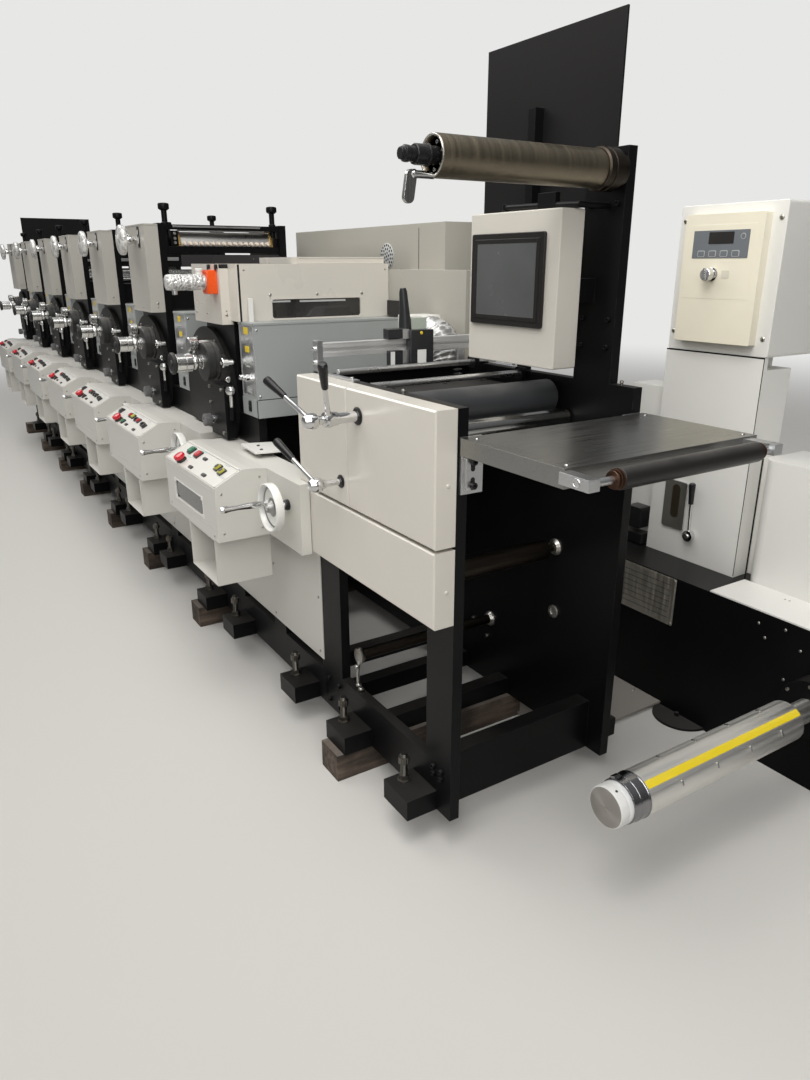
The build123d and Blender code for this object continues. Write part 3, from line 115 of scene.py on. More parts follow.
FLOOR_REACH = 60.0
floor_mesh = bpy.data.meshes.new("room_floor")
floor_corners = [(FLOOR_REACH * x, FLOOR_REACH * y, 0) for x, y in ((-1, -1), (1, -1), (1, 1), (-1, 1))]
floor_mesh.from_pydata(floor_corners, [], [(0, 1, 2, 3)])
room_floor = bpy.data.objects.new("room_floor", floor_mesh)
bpy.context.scene.collection.objects.link(room_floor)
floor_paint, tree = blank_material("pale_floor")
PLAIN_GROUND = (0.80, 0.80, 0.79, 1.0)
lit_floor = add_node(
    tree, "ShaderNodeBsdfDiffuse", {}, {"Color": (0.56, 0.55, 0.53, 1.0), "Roughness": 0.9}
)
far_floor = add_node(tree, "ShaderNodeEmission", {}, {"Color": PLAIN_GROUND, "Strength": 1.0})
place = add_node(tree, "ShaderNodeTexCoord").outputs["Object"]
away = maths(tree, "LENGTH", place, kind="VectorMath", out="Value")
fading = span(tree, away, 0.0, 1.0, 4.5, 13.0, "SMOOTHSTEP")
seen = maths(tree, "MULTIPLY", fading, background_rays(tree))
add_node(tree, "ShaderNodeOutputMaterial", {}, {"Surface": mixed(tree, seen, lit_floor, far_floor)})
floor_mesh.materials.append(floor_paint)

world = bpy.data.worlds.new("soft_surround")
bpy.context.scene.world = world
world.use_nodes = True
tree = world.node_tree
tree.nodes.clear()
aim = add_node(tree, "ShaderNodeTexCoord").outputs["Generated"]
height = add_node(tree, "ShaderNodeSeparateXYZ", {}, {0: aim}).outputs["Z"]
sky = blend_colour(
    tree, span(tree, height, 0.0, 1.0, -0.1, 0.7), (0.26, 0.255, 0.25), (0.78, 0.79, 0.80)
)
behind = maths(tree, "DOT_PRODUCT", aim, (0.62, 0.78, 0.0), kind="VectorMath", out="Value")
sided = span(tree, behind, 0.62, 0.26, -1.0, 1.0)
soft_light = add_node(tree, "ShaderNodeBackground", {}, {"Color": sky, "Strength": sided})
backdrop = add_node(tree, "ShaderNodeBackground", {}, {"Color": PLAIN_GROUND, "Strength": 1.0})
choice = mixed(tree, background_rays(tree), soft_light, backdrop)
add_node(tree, "ShaderNodeOutputWorld", {}, {"Surface": choice})


def soft_lamp(name, place, aim, size, power):
    lamp = bpy.data.lights.new(name, "AREA")
    lamp.shape = "RECTANGLE"
    lamp.size, lamp.size_y = size
    lamp.energy = power
    lamp.color = (1.0, 0.98, 0.95)
    holder = bpy.data.objects.new(name, lamp)
    bpy.context.scene.collection.objects.link(holder)
    holder.location = place
    holder.rotation_mode = "QUATERNION"
    holder.rotation_quaternion = (Vector(aim) - Vector(place)).to_track_quat("-Z", "Y")


soft_lamp("ceiling_light_near", (3.4, -1.6, 4.6), (2.2, 0.2, 0.6), (2.6, 5.0), 134.0)
soft_lamp("ceiling_light_far", (-1.6, -1.8, 4.6), (-1.4, 0.0, 0.6), (6.0, 2.4), 150.0)
soft_lamp("near_fill", (5.6, -2.0, 2.4), (2.8, -0.4, 0.9), (2.0, 2.0), 42.0)
soft_lamp("unwind_light", (3.5, -0.9, 3.3), (2.8, 0.7, 1.2), (1.0, 1.0), 16.0)

bpy.context.scene.view_settings.view_transform = "Standard"
camera_data = bpy.data.cameras.new("eye_height_view")
camera = bpy.data.objects.new("eye_height_view", camera_data)
bpy.context.scene.collection.objects.link(camera)
bpy.context.scene.camera = camera
camera_data.sensor_width = 36.0
camera_data.lens = 26.255
camera_data.clip_start, camera_data.clip_end = 0.05, 200.0
right = Vector((0.53387436, 0.84556252, -0.00148202))
down = Vector((0.27934274, -0.1780262, -0.94354348))
ahead = Vector((-0.79808884, 0.50331968, -0.33124538))
axes = Matrix((right, -down, -ahead)).transposed().to_4x4()
camera.matrix_world = Matrix.Translation(spot(1408.4, -1027.6, 1500.0)) @ axes

# Timber packers: weathered sawn baulks laid across under the frame to bring it to height.
# Grey brown end grain and faces, damp dark patches and broken corners.


def shader_group(name, inputs, outputs):
    group = bpy.data.node_groups.new(name, "ShaderNodeTree")
    for label, value in inputs.items():
        kind = "NodeSocketVector" if isinstance(value, tuple) else "NodeSocketFloat"
        made = group.interface.new_socket(label, in_out="INPUT", socket_type=kind)
        made.default_value = value
    for label in outputs:
        kind = "NodeSocketVector" if label == "Normal" else "NodeSocketFloat"
        group.interface.new_socket(label, in_out="OUTPUT", socket_type=kind)
    return group, group.nodes.new("NodeGroupInput"), group.nodes.new("NodeGroupOutput")


def noise(tree, place, scale, detail):
    sockets = {"Vector": place, "Scale": scale, "Detail": detail}
    return add_node(tree, "ShaderNodeTexNoise", {}, sockets).outputs[0]


# Streaks: noise drawn out along one direction, for sawn grain, brushed steel and turned rings,
# and broad patches for damp wood and tarnish
streaks, given, result = shader_group(
    "drawn_streaks", {"Stretch": (1.0, 1.0, 1.0), "Detail": 3.0}, ("Lines", "Patches")
)
here = add_node(streaks, "ShaderNodeTexCoord").outputs["Object"]
drawn = maths(streaks, "MULTIPLY", here, given.outputs["Stretch"], kind="VectorMath")
streaks.links.new(noise(streaks, drawn, 1.0, given.outputs["Detail"]), result.inputs["Lines"])
streaks.links.new(noise(streaks, here, 7.0, 4.0), result.inputs["Patches"])

# Handling marks: worn edges found by comparing a rounded normal with the true one, dust that
# settles on upward faces, and a broad uneven tone
marks, given, result = shader_group(
    "handling_marks",
    {"Edge Size": 0.0015, "Tone Scale": 2.0, "Fine Scale": 260.0},
    ("Edge", "Dust", "Tone", "Fine", "Normal"),
)
here = add_node(marks, "ShaderNodeTexCoord").outputs["Object"]
soft = add_node(marks, "ShaderNodeBevel", {"samples": 4}, {"Radius": given.outputs["Edge Size"]})
true_normal = add_node(marks, "ShaderNodeNewGeometry").outputs["Normal"]
agree = maths(marks, "DOT_PRODUCT", soft.outputs[0], true_normal, kind="VectorMath", out="Value")
edge_cut = span(marks, agree, 0.0, 1.0, 0.985, 0.85)
edge_break = span(marks, noise(marks, here, 45.0, 3.0), 0.0, 1.0, 0.42, 0.62)
tone = noise(marks, here, given.outputs["Tone Scale"], 5.0)
upward = add_node(marks, "ShaderNodeSeparateXYZ", {}, {0: true_normal}).outputs["Z"]
lying = span(marks, upward, 0.0, 1.0, 0.5, 0.95)
uneven = span(marks, tone, 0.15, 1.0, 0.35, 0.7)
for label, source in (
    ("Edge", maths(marks, "MULTIPLY", edge_cut, edge_break)),
    ("Dust", maths(marks, "MULTIPLY", lying, uneven)),
    ("Tone", tone),
    ("Fine", noise(marks, here, given.outputs["Fine Scale"], 2.0)),
    ("Normal", soft.outputs[0]),
):
    marks.links.new(source, result.inputs[label])


def group_node(tree, group, sockets):
    return add_node(tree, "ShaderNodeGroup", {"node_tree": group}, sockets)


def relief(tree, height, strength, distance, normal):
    sockets = {"Height": height, "Strength": strength, "Distance": distance, "Normal": normal}
    return add_node(tree, "ShaderNodeBump", {}, sockets).outputs[0]


def surface(tree, colour, roughness, normal, constants=None):
    """The finished surface; constants are the sockets that have one value all over."""
    sockets = {"Base Color": colour, "Roughness": roughness, "Normal": normal}
    sockets.update(constants or {})
    shader = add_node(tree, "ShaderNodeBsdfPrincipled", {}, sockets)
    add_node(tree, "ShaderNodeOutputMaterial", {}, {"Surface": shader.outputs[0]})


def dress(material, *nodes):
    """The CAD parts take a material; they keep their own shape."""
    for node in nodes:
        CAD[node].data.materials.clear()
        CAD[node].data.materials.append(material)


def sawn_timber(name, pale, dark):
    material, tree = blank_material(name)
    grain = group_node(tree, streaks, {"Stretch": (60.0, 5.0, 60.0), "Detail": 5.0})
    wear = group_node(tree, marks, {"Edge Size": 0.004, "Tone Scale": 6.0, "Fine Scale": 180.0})
    colour = blend_colour(tree, span(tree, grain.outputs["Lines"], 0.0, 1.0), dark, pale)
    damp = span(tree, grain.outputs["Patches"], 0.75, 0.0, 0.4, 0.6)
    colour = blend_colour(tree, damp, colour, tuple(0.4 * c for c in dark))
    colour = blend_colour(tree, wear.outputs["Dust"], colour, (0.20, 0.18, 0.16))
    bump = relief(tree, grain.outputs["Lines"], 0.6, 0.002, wear.outputs["Normal"])
    surface(tree, colour, span(tree, wear.outputs["Fine"], 0.75, 0.95), bump)
    return material


dress(sawn_timber("weathered_timber", (0.17, 0.13, 0.10), (0.06, 0.043, 0.032)), "timber_packers")

# Frame, rails, plates and pads: steel plate in sprayed satin black paint, chipped to grey at the
# edges and dusty on its upward faces


def sprayed_paint(name, colour, roughness, worn, tone=0.08, dust=0.25, peel=0.12, coat=0.0, shine=0.5):
    """Sprayed paint on steel: faint orange peel, uneven tone, dust on top, worn edges."""
    material, tree = blank_material(name)
    wear = group_node(tree, marks, {"Edge Size": 0.0015, "Tone Scale": 1.7, "Fine Scale": 240.0})
    lighter = tuple(min(1.0, c * (1 + tone) + tone * 0.01) for c in colour)
    darker = tuple(c * (1 - tone) for c in colour)
    shade = blend_colour(tree, span(tree, wear.outputs["Tone"], 0.0, 1.0), darker, lighter)
    settled = span(tree, wear.outputs["Dust"], 0.0, dust, 0.0, 1.0)
    shade = blend_colour(tree, settled, shade, (0.34, 0.32, 0.29))
    shade = blend_colour(tree, wear.outputs["Edge"], shade, worn)
    gloss = span(tree, wear.outputs["Tone"], roughness * 0.85, roughness * 1.25)
    bump = relief(tree, wear.outputs["Fine"], peel, 0.0006, wear.outputs["Normal"])
    surface(
        tree, shade, gloss, bump,
        {"Coat Weight": coat, "Coat Roughness": 0.12, "Specular IOR Level": shine},
    )
    return material


black_paint = sprayed_paint(
    "satin_black_paint", (0.0045, 0.0045, 0.005), 0.36, (0.04, 0.038, 0.036), dust=0.08, peel=0.2,
    shine=0.14
)
dress(
    black_paint, "outfeed_stand_frame", "levelling_pads", "varnish_unit_plates", "letterpress_frames",
    "lifting_rods", "impression_brackets", "unwind_base",
)
rail_paint = sprayed_paint(
    "rail_black_paint", (0.007, 0.007, 0.008), 0.46, (0.05, 0.045, 0.04), dust=0.16, shine=0.16
)
dress(rail_paint, "base_rails")
dress(
    sprayed_paint(
        "inner_black", (0.004, 0.004, 0.0045), 0.6, (0.02, 0.02, 0.02), dust=0.05, shine=0.15
    ),
    "press_interiors",
)

# Covers, consoles, towers, dryers and cabinets: folded sheet in enamel, each kind in its own white
# or grey, the cabinets' being the cover white darkened as painted shade; and thin black painted boards,
# guards and discs
cover_paint = sprayed_paint(
    "warm_white_enamel", (0.64, 0.61, 0.55), 0.30, (0.55, 0.53, 0.49), tone=0.03, dust=0.1, coat=0.35
)
console_paint = sprayed_paint(
    "console_enamel", (0.62, 0.61, 0.57), 0.38, (0.5, 0.49, 0.46), tone=0.03, dust=0.15, coat=0.15
)
tower_paint = sprayed_paint(
    "tower_grey_enamel", (0.46, 0.445, 0.405), 0.40, (0.40, 0.39, 0.36), tone=0.04, dust=0.15
)
dryer_paint = sprayed_paint(
    "dryer_grey_enamel", (0.33, 0.35, 0.345), 0.42, (0.3, 0.31, 0.31), tone=0.04, dust=0.2
)
white_paint = sprayed_paint(
    "cool_white_enamel", (0.78, 0.775, 0.74), 0.34, (0.6, 0.6, 0.57), tone=0.03, dust=0.15, coat=0.2
)
dress(cover_paint, "outfeed_stand_covers", "varnish_unit_covers", "screen_box")
# Cabinets and gear covers: the warm white cover enamel at about five eighths of its brightness, as
# painted shade for the drive side
shaded_cabinet_paint = sprayed_paint(
    "cabinet_enamel_painted_shade", (0.40, 0.385, 0.34), 0.34, (0.42, 0.40, 0.37), tone=0.05, dust=0.15, coat=0.2
)
dress(shaded_cabinet_paint, "gear_covers", "drive_side_cabinets")
dress(console_paint, "control_consoles", "console_trays", "skirt_panels")
dress(tower_paint, "tower_covers")
dress(dryer_paint, "drying_housings")
dress(white_paint, "unwind_covers", "tension_control_box")
tie_paint = sprayed_paint(
    "tie_plate_grey", (0.30, 0.28, 0.255), 0.42, (0.25, 0.23, 0.21), tone=0.08, dust=0.4
)
dress(tie_paint, "floor_tie_plate")
dress(
    sprayed_paint(
        "matt_black_board", (0.009, 0.0085, 0.0088), 0.5, (0.03, 0.03, 0.03), dust=0.05, peel=0.05,
        shine=0.14,
    ),
    "shield_board",
)
dress(
    sprayed_paint("guard_black", (0.007, 0.007, 0.007), 0.42, (0.04, 0.04, 0.04), dust=0.1, shine=0.2),
    "drum_guards",
)
dress(
    sprayed_paint("disc_black", (0.012, 0.012, 0.012), 0.45, (0.05, 0.05, 0.05), dust=0.15, shine=0.3),
    "register_discs",
)

# Rollers, levers, table, brackets and couplings: bare metal, brushed, ground or turned, some of
# it plated, with drawn streaks and a little tarnish


def worked_steel(name, colour, roughness, stretch, depth, tarnish=None, spread=0.12, stained=0.6):
    """Brushed, ground or turned metal: drawn streaks in tone, gloss and relief."""
    material, tree = blank_material(name)
    grain = group_node(tree, streaks, {"Stretch": stretch, "Detail": 4.0})
    wear = group_node(tree, marks, {"Edge Size": 0.001, "Tone Scale": 5.0, "Fine Scale": 300.0})
    dark = tuple(c * (1 - spread) for c in colour)
    shade = blend_colour(tree, span(tree, grain.outputs["Lines"], 0.0, 1.0), dark, colour)
    stain = span(tree, grain.outputs["Patches"], 0.0, stained, 0.5, 0.75)
    shade = blend_colour(tree, stain, shade, tarnish or tuple(c * 0.75 for c in colour))
    gloss = span(tree, grain.outputs["Lines"], roughness * 0.8, roughness * 1.3)
    bump = relief(tree, grain.outputs["Lines"], depth, 0.0004, wear.outputs["Normal"])
    surface(tree, shade, gloss, bump, {"Metallic": 1.0})
    return material


table_steel = worked_steel(
    "brushed_table_steel", (0.36, 0.36, 0.35), 0.30, (700.0, 4.0, 700.0), 0.006, spread=0.10,
    stained=0.25
)
chrome = worked_steel(
    "bright_chrome", (0.72, 0.72, 0.72), 0.10, (30.0, 30.0, 30.0), 0.0, spread=0.03, stained=0.1
)
ground_steel = worked_steel(
    "ground_steel", (0.52, 0.52, 0.50), 0.20, (4.0, 500.0, 4.0), 0.015, spread=0.06, stained=0.25
)
aluminium = worked_steel("extruded_aluminium", (0.68, 0.69, 0.70), 0.32, (200.0, 5.0, 200.0), 0.08)
brown_steel = worked_steel(
    "bronzed_steel_tube", (0.25, 0.215, 0.158), 0.36, (5.0, 90.0, 5.0), 0.01, (0.13, 0.108, 0.078),
    0.10, stained=0.3
)
brass = worked_steel("cut_brass", (0.62, 0.42, 0.16), 0.3, (200.0, 20.0, 200.0), 0.08)
dress(table_steel, "outfeed_table")
dress(
    chrome, "steel_nip_roller", "lever_upper_outer", "lever_upper_inner", "lever_lower",
    "register_couplings",
)
dress(ground_steel, "ink_fountain_troughs", "fountain_rollers", "brake_pivot", "brake_lever")
dress(aluminium, "table_brackets", "valve_motor")
dress(brown_steel, "core_roller")
dark_tube = worked_steel(
    "blackened_steel_tube", (0.055, 0.045, 0.036), 0.38, (60.0, 4.0, 60.0), 0.01, (0.03, 0.025, 0.02),
    0.2, stained=0.5
)
dress(dark_tube, "brown_idler_tubes")
dress(brass, "fountain_brass_ends")

# Roller coverings, stop buttons, valve box, screen frame and wheels: rubber and moulded plastic
# of an even colour with a fine skin


def moulded(name, colour, roughness, coat=0.0, shine=0.5):
    """Moulded plastic or rubber: even colour with a fine skin, slightly handled."""
    material, tree = blank_material(name)
    wear = group_node(tree, marks, {"Edge Size": 0.001, "Tone Scale": 9.0, "Fine Scale": 500.0})
    dark = tuple(c * 0.95 for c in colour)
    shade = blend_colour(tree, span(tree, wear.outputs["Tone"], 0.0, 1.0), dark, colour)
    shade = blend_colour(
        tree, span(tree, wear.outputs["Dust"], 0.0, 0.12, 0.0, 1.0), shade, (0.4, 0.38, 0.35)
    )
    gloss = span(tree, wear.outputs["Fine"], roughness * 0.9, roughness * 1.15)
    bump = relief(tree, wear.outputs["Fine"], 0.05, 0.0004, wear.outputs["Normal"])
    surface(
        tree, shade, gloss, bump,
        {"Coat Weight": coat, "Coat Roughness": 0.1, "Specular IOR Level": shine},
    )
    return material


dress(moulded("dark_roller_rubber", (0.035, 0.037, 0.040), 0.40), "rubber_nip_roller")
dress(moulded("edge_roller_rubber", (0.016, 0.0145, 0.014), 0.36, shine=0.35), "table_edge_roller")
dress(moulded("signal_red", (0.62, 0.015, 0.015), 0.25, 0.4), "emergency_stops")
dress(moulded("valve_orange", (0.85, 0.11, 0.012), 0.3, 0.3), "valve_box")
dress(moulded("bezel_black", (0.03, 0.032, 0.032), 0.3, 0.2), "touch_screen")
dress(moulded("cream_plastic", (0.78, 0.73, 0.60), 0.4), "tension_control_panel")
wheel_plastic = moulded("wheel_grey_white", (0.66, 0.65, 0.62), 0.35, 0.2)
dress(wheel_plastic, "console_handwheel_1", "console_handwheel_2", "console_handwheels_far")
wrapped = moulded("wrapped_wheel_white", (0.70, 0.69, 0.63), 0.3, 0.4)
dress(wrapped, "tower_handwheel_1", "tower_handwheel_2", "tower_handwheels_far")

# Levelling feet: black pads on the packers, each with a threaded steel stud, a lock nut and a
# washer. The CAD pads stay; the thread and nuts are turned and hexagon steel.


class Shape:
    """Surfaces of one piece, in millimetres from the datum. seat turns or moves what is added.
    Every form returns the shape, so that a piece of one form is one expression."""

    def __init__(self):
        self.mesh = bmesh.new()
        self.seat = Matrix.Identity(4)

    def faces(self, points, faces):
        made = [self.mesh.verts.new(self.seat @ Vector(p)) for p in points]
        for face in faces:
            corners = list(dict.fromkeys(face))
            if len(corners) > 2:
                self.mesh.faces.new([made[i] for i in corners])
        return self

    def block(self, x0, x1, y0, y1, z0, z1):
        corners = [(x, y, z) for x in (x0, x1) for y in (y0, y1) for z in (z0, z1)]
        sides = ((0, 1, 3, 2), (4, 6, 7, 5), (0, 4, 5, 1), (2, 3, 7, 6), (0, 2, 6, 4), (1, 5, 7, 3))
        return self.faces(corners, sides)

    def turned(self, place, axis, profile, sides):
        """A shape turned about an axis; profile holds (distance along the axis, radius)."""
        along = Vector(axis).normalized()
        side = along.orthogonal().normalized()
        over = along.cross(side)
        points, rings = [], []
        for step, radius in profile:
            middle = Vector(place) + along * step
            if radius < 1e-6:
                rings.append([len(points)] * sides)
                points.append(middle)
                continue
            rings.append([len(points) + i for i in range(sides)])
            for i in range(sides):
                turn = 2 * math.pi * (i + 0.5) / sides
                points.append(middle + (side * math.cos(turn) + over * math.sin(turn)) * radius)
        faces = []
        for low, high in zip(rings, rings[1:]):
            for i in range(sides):
                j = (i + 1) % sides
                faces.append((low[i], low[j], high[j], high[i]))
        faces.append(tuple(reversed(rings[0])))
        faces.append(tuple(rings[-1]))
        return self.faces(points, faces)

    def slab(self, outline, axis, start, end):
        """An outline in the two other directions, drawn along x, y or z."""
        at = "xyz".index(axis)
        points = [(a, b)[:at] + (t,) + (a, b)[at:] for t in (start, end) for a, b in outline]
        count = len(outline)
        faces = [tuple(range(count)), tuple(range(2 * count - 1, count - 1, -1))]
        for i in range(count):
            j = (i + 1) % count
            faces.append((i, j, j + count, i + count))
        return self.faces(points, faces)

    def tube(self, line, radius, sides):
        """A round bar or pipe along a line of points; radius is one value, or one for each point."""
        line = [Vector(p) for p in line]
        points, faces = [], []
        side = (line[1] - line[0]).orthogonal().normalized()
        for i, here in enumerate(line):
            ahead = line[min(i + 1, len(line) - 1)] - line[max(i - 1, 0)]
            ahead.normalize()
            side = (side - ahead * side.dot(ahead)).normalized()
            over = ahead.cross(side)
            wide = radius[i] if isinstance(radius, (list, tuple)) else radius
            for j in range(sides):
                turn = 2 * math.pi * j / sides
                points.append(here + (side * math.cos(turn) + over * math.sin(turn)) * wide)
        for i in range(len(line) - 1):
            for j in range(sides):
                k = (j + 1) % sides
                low, high = i * sides, (i + 1) * sides
                faces.append((low + j, low + k, high + k, high + j))
        faces.append(tuple(range(sides - 1, -1, -1)))
        faces.append(tuple(range((len(line) - 1) * sides, len(line) * sides)))
        return self.faces(points, faces)

    def hexagon(self, place, axis, width, height):
        radius = width / math.sqrt(3)
        return self.turned(place, axis, [(0, radius), (height, radius)], 6)


def around(radius, degrees):
    """The two shares of a step of this length, turned by degrees from the first direction."""
    turn = math.radians(degrees)
    return radius * math.cos(turn), radius * math.sin(turn)


def rounded(a0, a1, b0, b1, radius, steps=4):
    """The outline of a rectangle with rounded corners."""
    outline = []
    corners = ((a1 - radius, b1 - radius), (a0 + radius, b1 - radius))
    corners += ((a0 + radius, b0 + radius), (a1 - radius, b0 + radius))
    for quarter, (centre_a, centre_b) in enumerate(corners):
        for i in range(steps + 1):
            a, b = around(radius, 90 * quarter + 90 * i / steps)
            outline.append((centre_a + a, centre_b + b))
    return outline


def build(shape, name, material, body="machine", *, edge=0.0, stands_for=(), crease=32):
    """The finished piece, riding on its body; edge is the width of its rounded edges."""
    bmesh.ops.recalc_face_normals(shape.mesh, faces=shape.mesh.faces[:])
    for point in shape.mesh.verts:
        point.co = spot(*point.co)
    mesh = bpy.data.meshes.new(name)
    shape.mesh.to_mesh(mesh)
    shape.mesh.free()
    mesh.materials.append(material)
    mesh.polygons.foreach_set("use_smooth", [True] * len(mesh.polygons))
    mesh.set_sharp_from_angle(angle=math.radians(crease))
    made = bpy.data.objects.new(name, mesh)
    bpy.context.scene.collection.objects.link(made)
    if edge:
        softened = made.modifiers.new("softened_edges", "BEVEL")
        softened.width = edge / 1000
        softened.segments = 2
        softened.limit_method = "ANGLE"
        softened.angle_limit = math.radians(35)
        softened.harden_normals = True
    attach(made, body)
    if stands_for:
        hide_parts(*stands_for)


def dome_screw(shape, place, axis, radius):
    """A button head screw; its socket is a flat in the crown."""
    crown = [(radius * 0.2, radius), (radius * 0.5, radius * 0.72), (radius * 0.6, radius * 0.45)]
    shape.turned(place, axis, [(-0.5, radius)] + crown, 14)


def cap_screw(shape, place, axis, radius, height):
    """A socket head cap screw: straight head with a sunk socket."""
    wall = [(-0.5, radius), (height * 0.9, radius), (height, radius * 0.88)]
    socket = [(height, radius * 0.5), (height * 0.45, radius * 0.5)]
    shape.turned(place, axis, wall + socket, 14)


# Directions: up, to the outfeed end, to the operator and to the drive side. The rows of units and
# consoles keep one pitch; each is known by the x of its end nearest the outfeed stand.
UP, TO_END, TO_OPERATOR, TO_DRIVE = (0, 0, 1), (1, 0, 0), (0, -1, 0), (0, 1, 0)
UNIT_PITCH = 810.0
UNITS = [-UNIT_PITCH * i for i in range(6)]
CONSOLE_ENDS = [-900.0] + [-1800.0 + dx for dx in UNITS]
pad_places = [-153.0, -506.0]
for near in CONSOLE_ENDS:
    pad_places += [near + 40.0, near - 537.0]
zinc = worked_steel(
    "zinc_plated_steel", (0.50, 0.49, 0.46), 0.34, (40.0, 40.0, 400.0), 0.1, (0.22, 0.19, 0.15), 0.25
)
THREAD_PITCH, ROOT, CREST = 3.6, 9.4, 10.3  # of the studs: pitch and two radii
studs = Shape()
for x in pad_places:
    for y in (-47.5, 634.5):
        thread = [(150.0, ROOT)]
        for i in range(23):
            z = 152.0 + THREAD_PITCH * i
            thread += [(z, CREST), (z + 1.6, ROOT)]
        studs.turned((x, y, 0), UP, thread, 10)
        studs.turned((x, y, 150.0), UP, [(0, 19.0), (3.0, 19.0)], 20)
        studs.hexagon((x, y, 153.0), UP, 27.0, 14.0)
        studs.hexagon((x, y, 204.0), UP, 28.0, 20.0)
stud_steel = worked_steel(
    "oiled_stud_steel", (0.20, 0.19, 0.17), 0.36, (40.0, 40.0, 400.0), 0.1, (0.10, 0.08, 0.06), 0.25
)
build(studs, "levelling_studs", stud_steel, crease=25)

# Skirts: thin painted sheet panels along the base rails, each held by two dome screws near
# either end of its face
skirt_screws = Shape()
SKIRT_ENDS = [-725.0] + [near + 254.0 for near in CONSOLE_ENDS[1:]]
for near in SKIRT_ENDS:
    for x in (near - 22.0, near - 390.0):
        for z in (275.0, 470.0):
            dome_screw(skirt_screws, (x, -3.0, z), TO_OPERATOR, 5.0)
build(skirt_screws, "skirt_screws", zinc)

# Outfeed stand: black side plates. Bright cap screws hold the cross bars, a ported ring sits in
# the drive side plate, the low tubes turn in steel collars and a short bent pipe with unions
# hangs at the operator's end of the lower one.
OPERATOR_INSIDE, DRIVE_INSIDE, DRIVE_FACE = 30.0, 557.0, 587.0
PLATE_INSIDES = ((OPERATOR_INSIDE, 1), (DRIVE_INSIDE, -1))
stand_fittings = Shape()
for x, z in ((-640.0, 300.0), (-560.0, 262.0)):
    cap_screw(stand_fittings, (x, DRIVE_INSIDE, z), TO_OPERATOR, 7.0, 6.0)
stand_fittings.turned(
    (-237.0, DRIVE_INSIDE, 480.0), TO_OPERATOR, [(0, 21), (5, 21), (6, 18), (6, 13), (1, 12)], 28
)
for x, z in ((-246.0, 690.0), (-545.0, 335.0)):
    for y, way in PLATE_INSIDES:
        stand_fittings.turned((x, y, z), (0, way, 0), [(-1, 26), (5, 26), (8, 23.5), (16, 19)], 26)
for x, y in ((-243.0, 10.0), (-60.0, 575.0)):
    stand_fittings.turned((x, y, 1196.0), UP, [(0, 4), (5, 4), (7, 5.5), (11, 5), (13, 2)], 12)
stand_fittings.tube([(-545, 40, 330), (-540, 30, 318), (-536, 22, 280), (-530, 20, 240)], 5.0, 10)
for x, y, z in ((-545, 36, 350), (-536, 20, 300), (-528, 20, 238), (-505, 16, 236)):
    stand_fittings.turned((x, y, z), UP, [(0, 6), (3, 9), (9, 9), (12, 6)], 12)
build(stand_fittings, "stand_fittings", zinc)

stand_bolts = Shape()
for columns, heights in (((-40.0, -75.0), (200.0, 222.0)), ((-620.0, -690.0), (120.0, 200.0))):
    for x in columns:
        for z in heights:
            cap_screw(stand_bolts, (x, -0.5, z), TO_OPERATOR, 8.0, 9.0)
for z in (1290.0, 1360.0, 1640.0, 1700.0):
    for x in (-108.0, -200.0):
        cap_screw(stand_bolts, (x, DRIVE_INSIDE, z), TO_OPERATOR, 7.0, 7.0)
for x, z in (
    (-60.0, 1160.0), (-60.0, 900.0), (-60.0, 640.0), (-660.0, 1160.0), (-660.0, 700.0), (-360.0, 640.0)
):
    cap_screw(stand_bolts, (x, DRIVE_FACE, z), TO_DRIVE, 7.0, 7.0)
build(stand_bolts, "stand_bolts", black_paint)

# Stand interior: a black sheet closes the far end between the side plates, with a dark deck
# plate folded forward under the guide rods; both are screwed to the plates.
stand_wall = Shape()
stand_wall.block(-724.0, -719.0, 31.0, 556.0, 880.0, 1192.0)
stand_wall.block(-722.0, -700.0, 31.0, 556.0, 1184.0, 1190.0)
build(stand_wall, "stand_back_wall", black_paint, edge=1.0)
stand_deck = Shape()
stand_deck.block(-716.0, -470.0, 33.0, 554.0, 1146.0, 1150.0)
stand_deck.block(-474.0, -470.0, 33.0, 554.0, 1118.0, 1146.0)
for y in (60.0, 200.0, 387.0, 527.0):
    dome_screw(stand_deck, (-600.0, y, 1150.0), UP, 5.0)
build(stand_deck, "stand_deck_plate", rail_paint, edge=0.8)

# Stand covers: enamelled sheet boxes on the operator side plate, held at their ends by dome
# screws, with black bushes where the lever shafts come through.
cover_screws = Shape()
for z in (1023.0, 760.0):
    dome_screw(cover_screws, (0, -23.0, z), TO_END, 5.5)
build(cover_screws, "cover_screws", cover_paint)
shaft_bushes = Shape()
for x, z, radius in ((-351.0, 1132.0, 14.5), (-453.0, 937.0, 9.5)):
    shaft_bushes.turned(
        (x, -60.0, z),
        TO_OPERATOR,
        [(-2, radius), (-2, radius + 9), (3, radius + 9), (6, radius + 5), (6, radius), (-2, radius)],
        26,
    )
black_plastic = moulded("hard_black_plastic", (0.011, 0.011, 0.012), 0.28, 0.1, shine=0.3)
build(shaft_bushes, "lever_shaft_bushes", black_plastic)

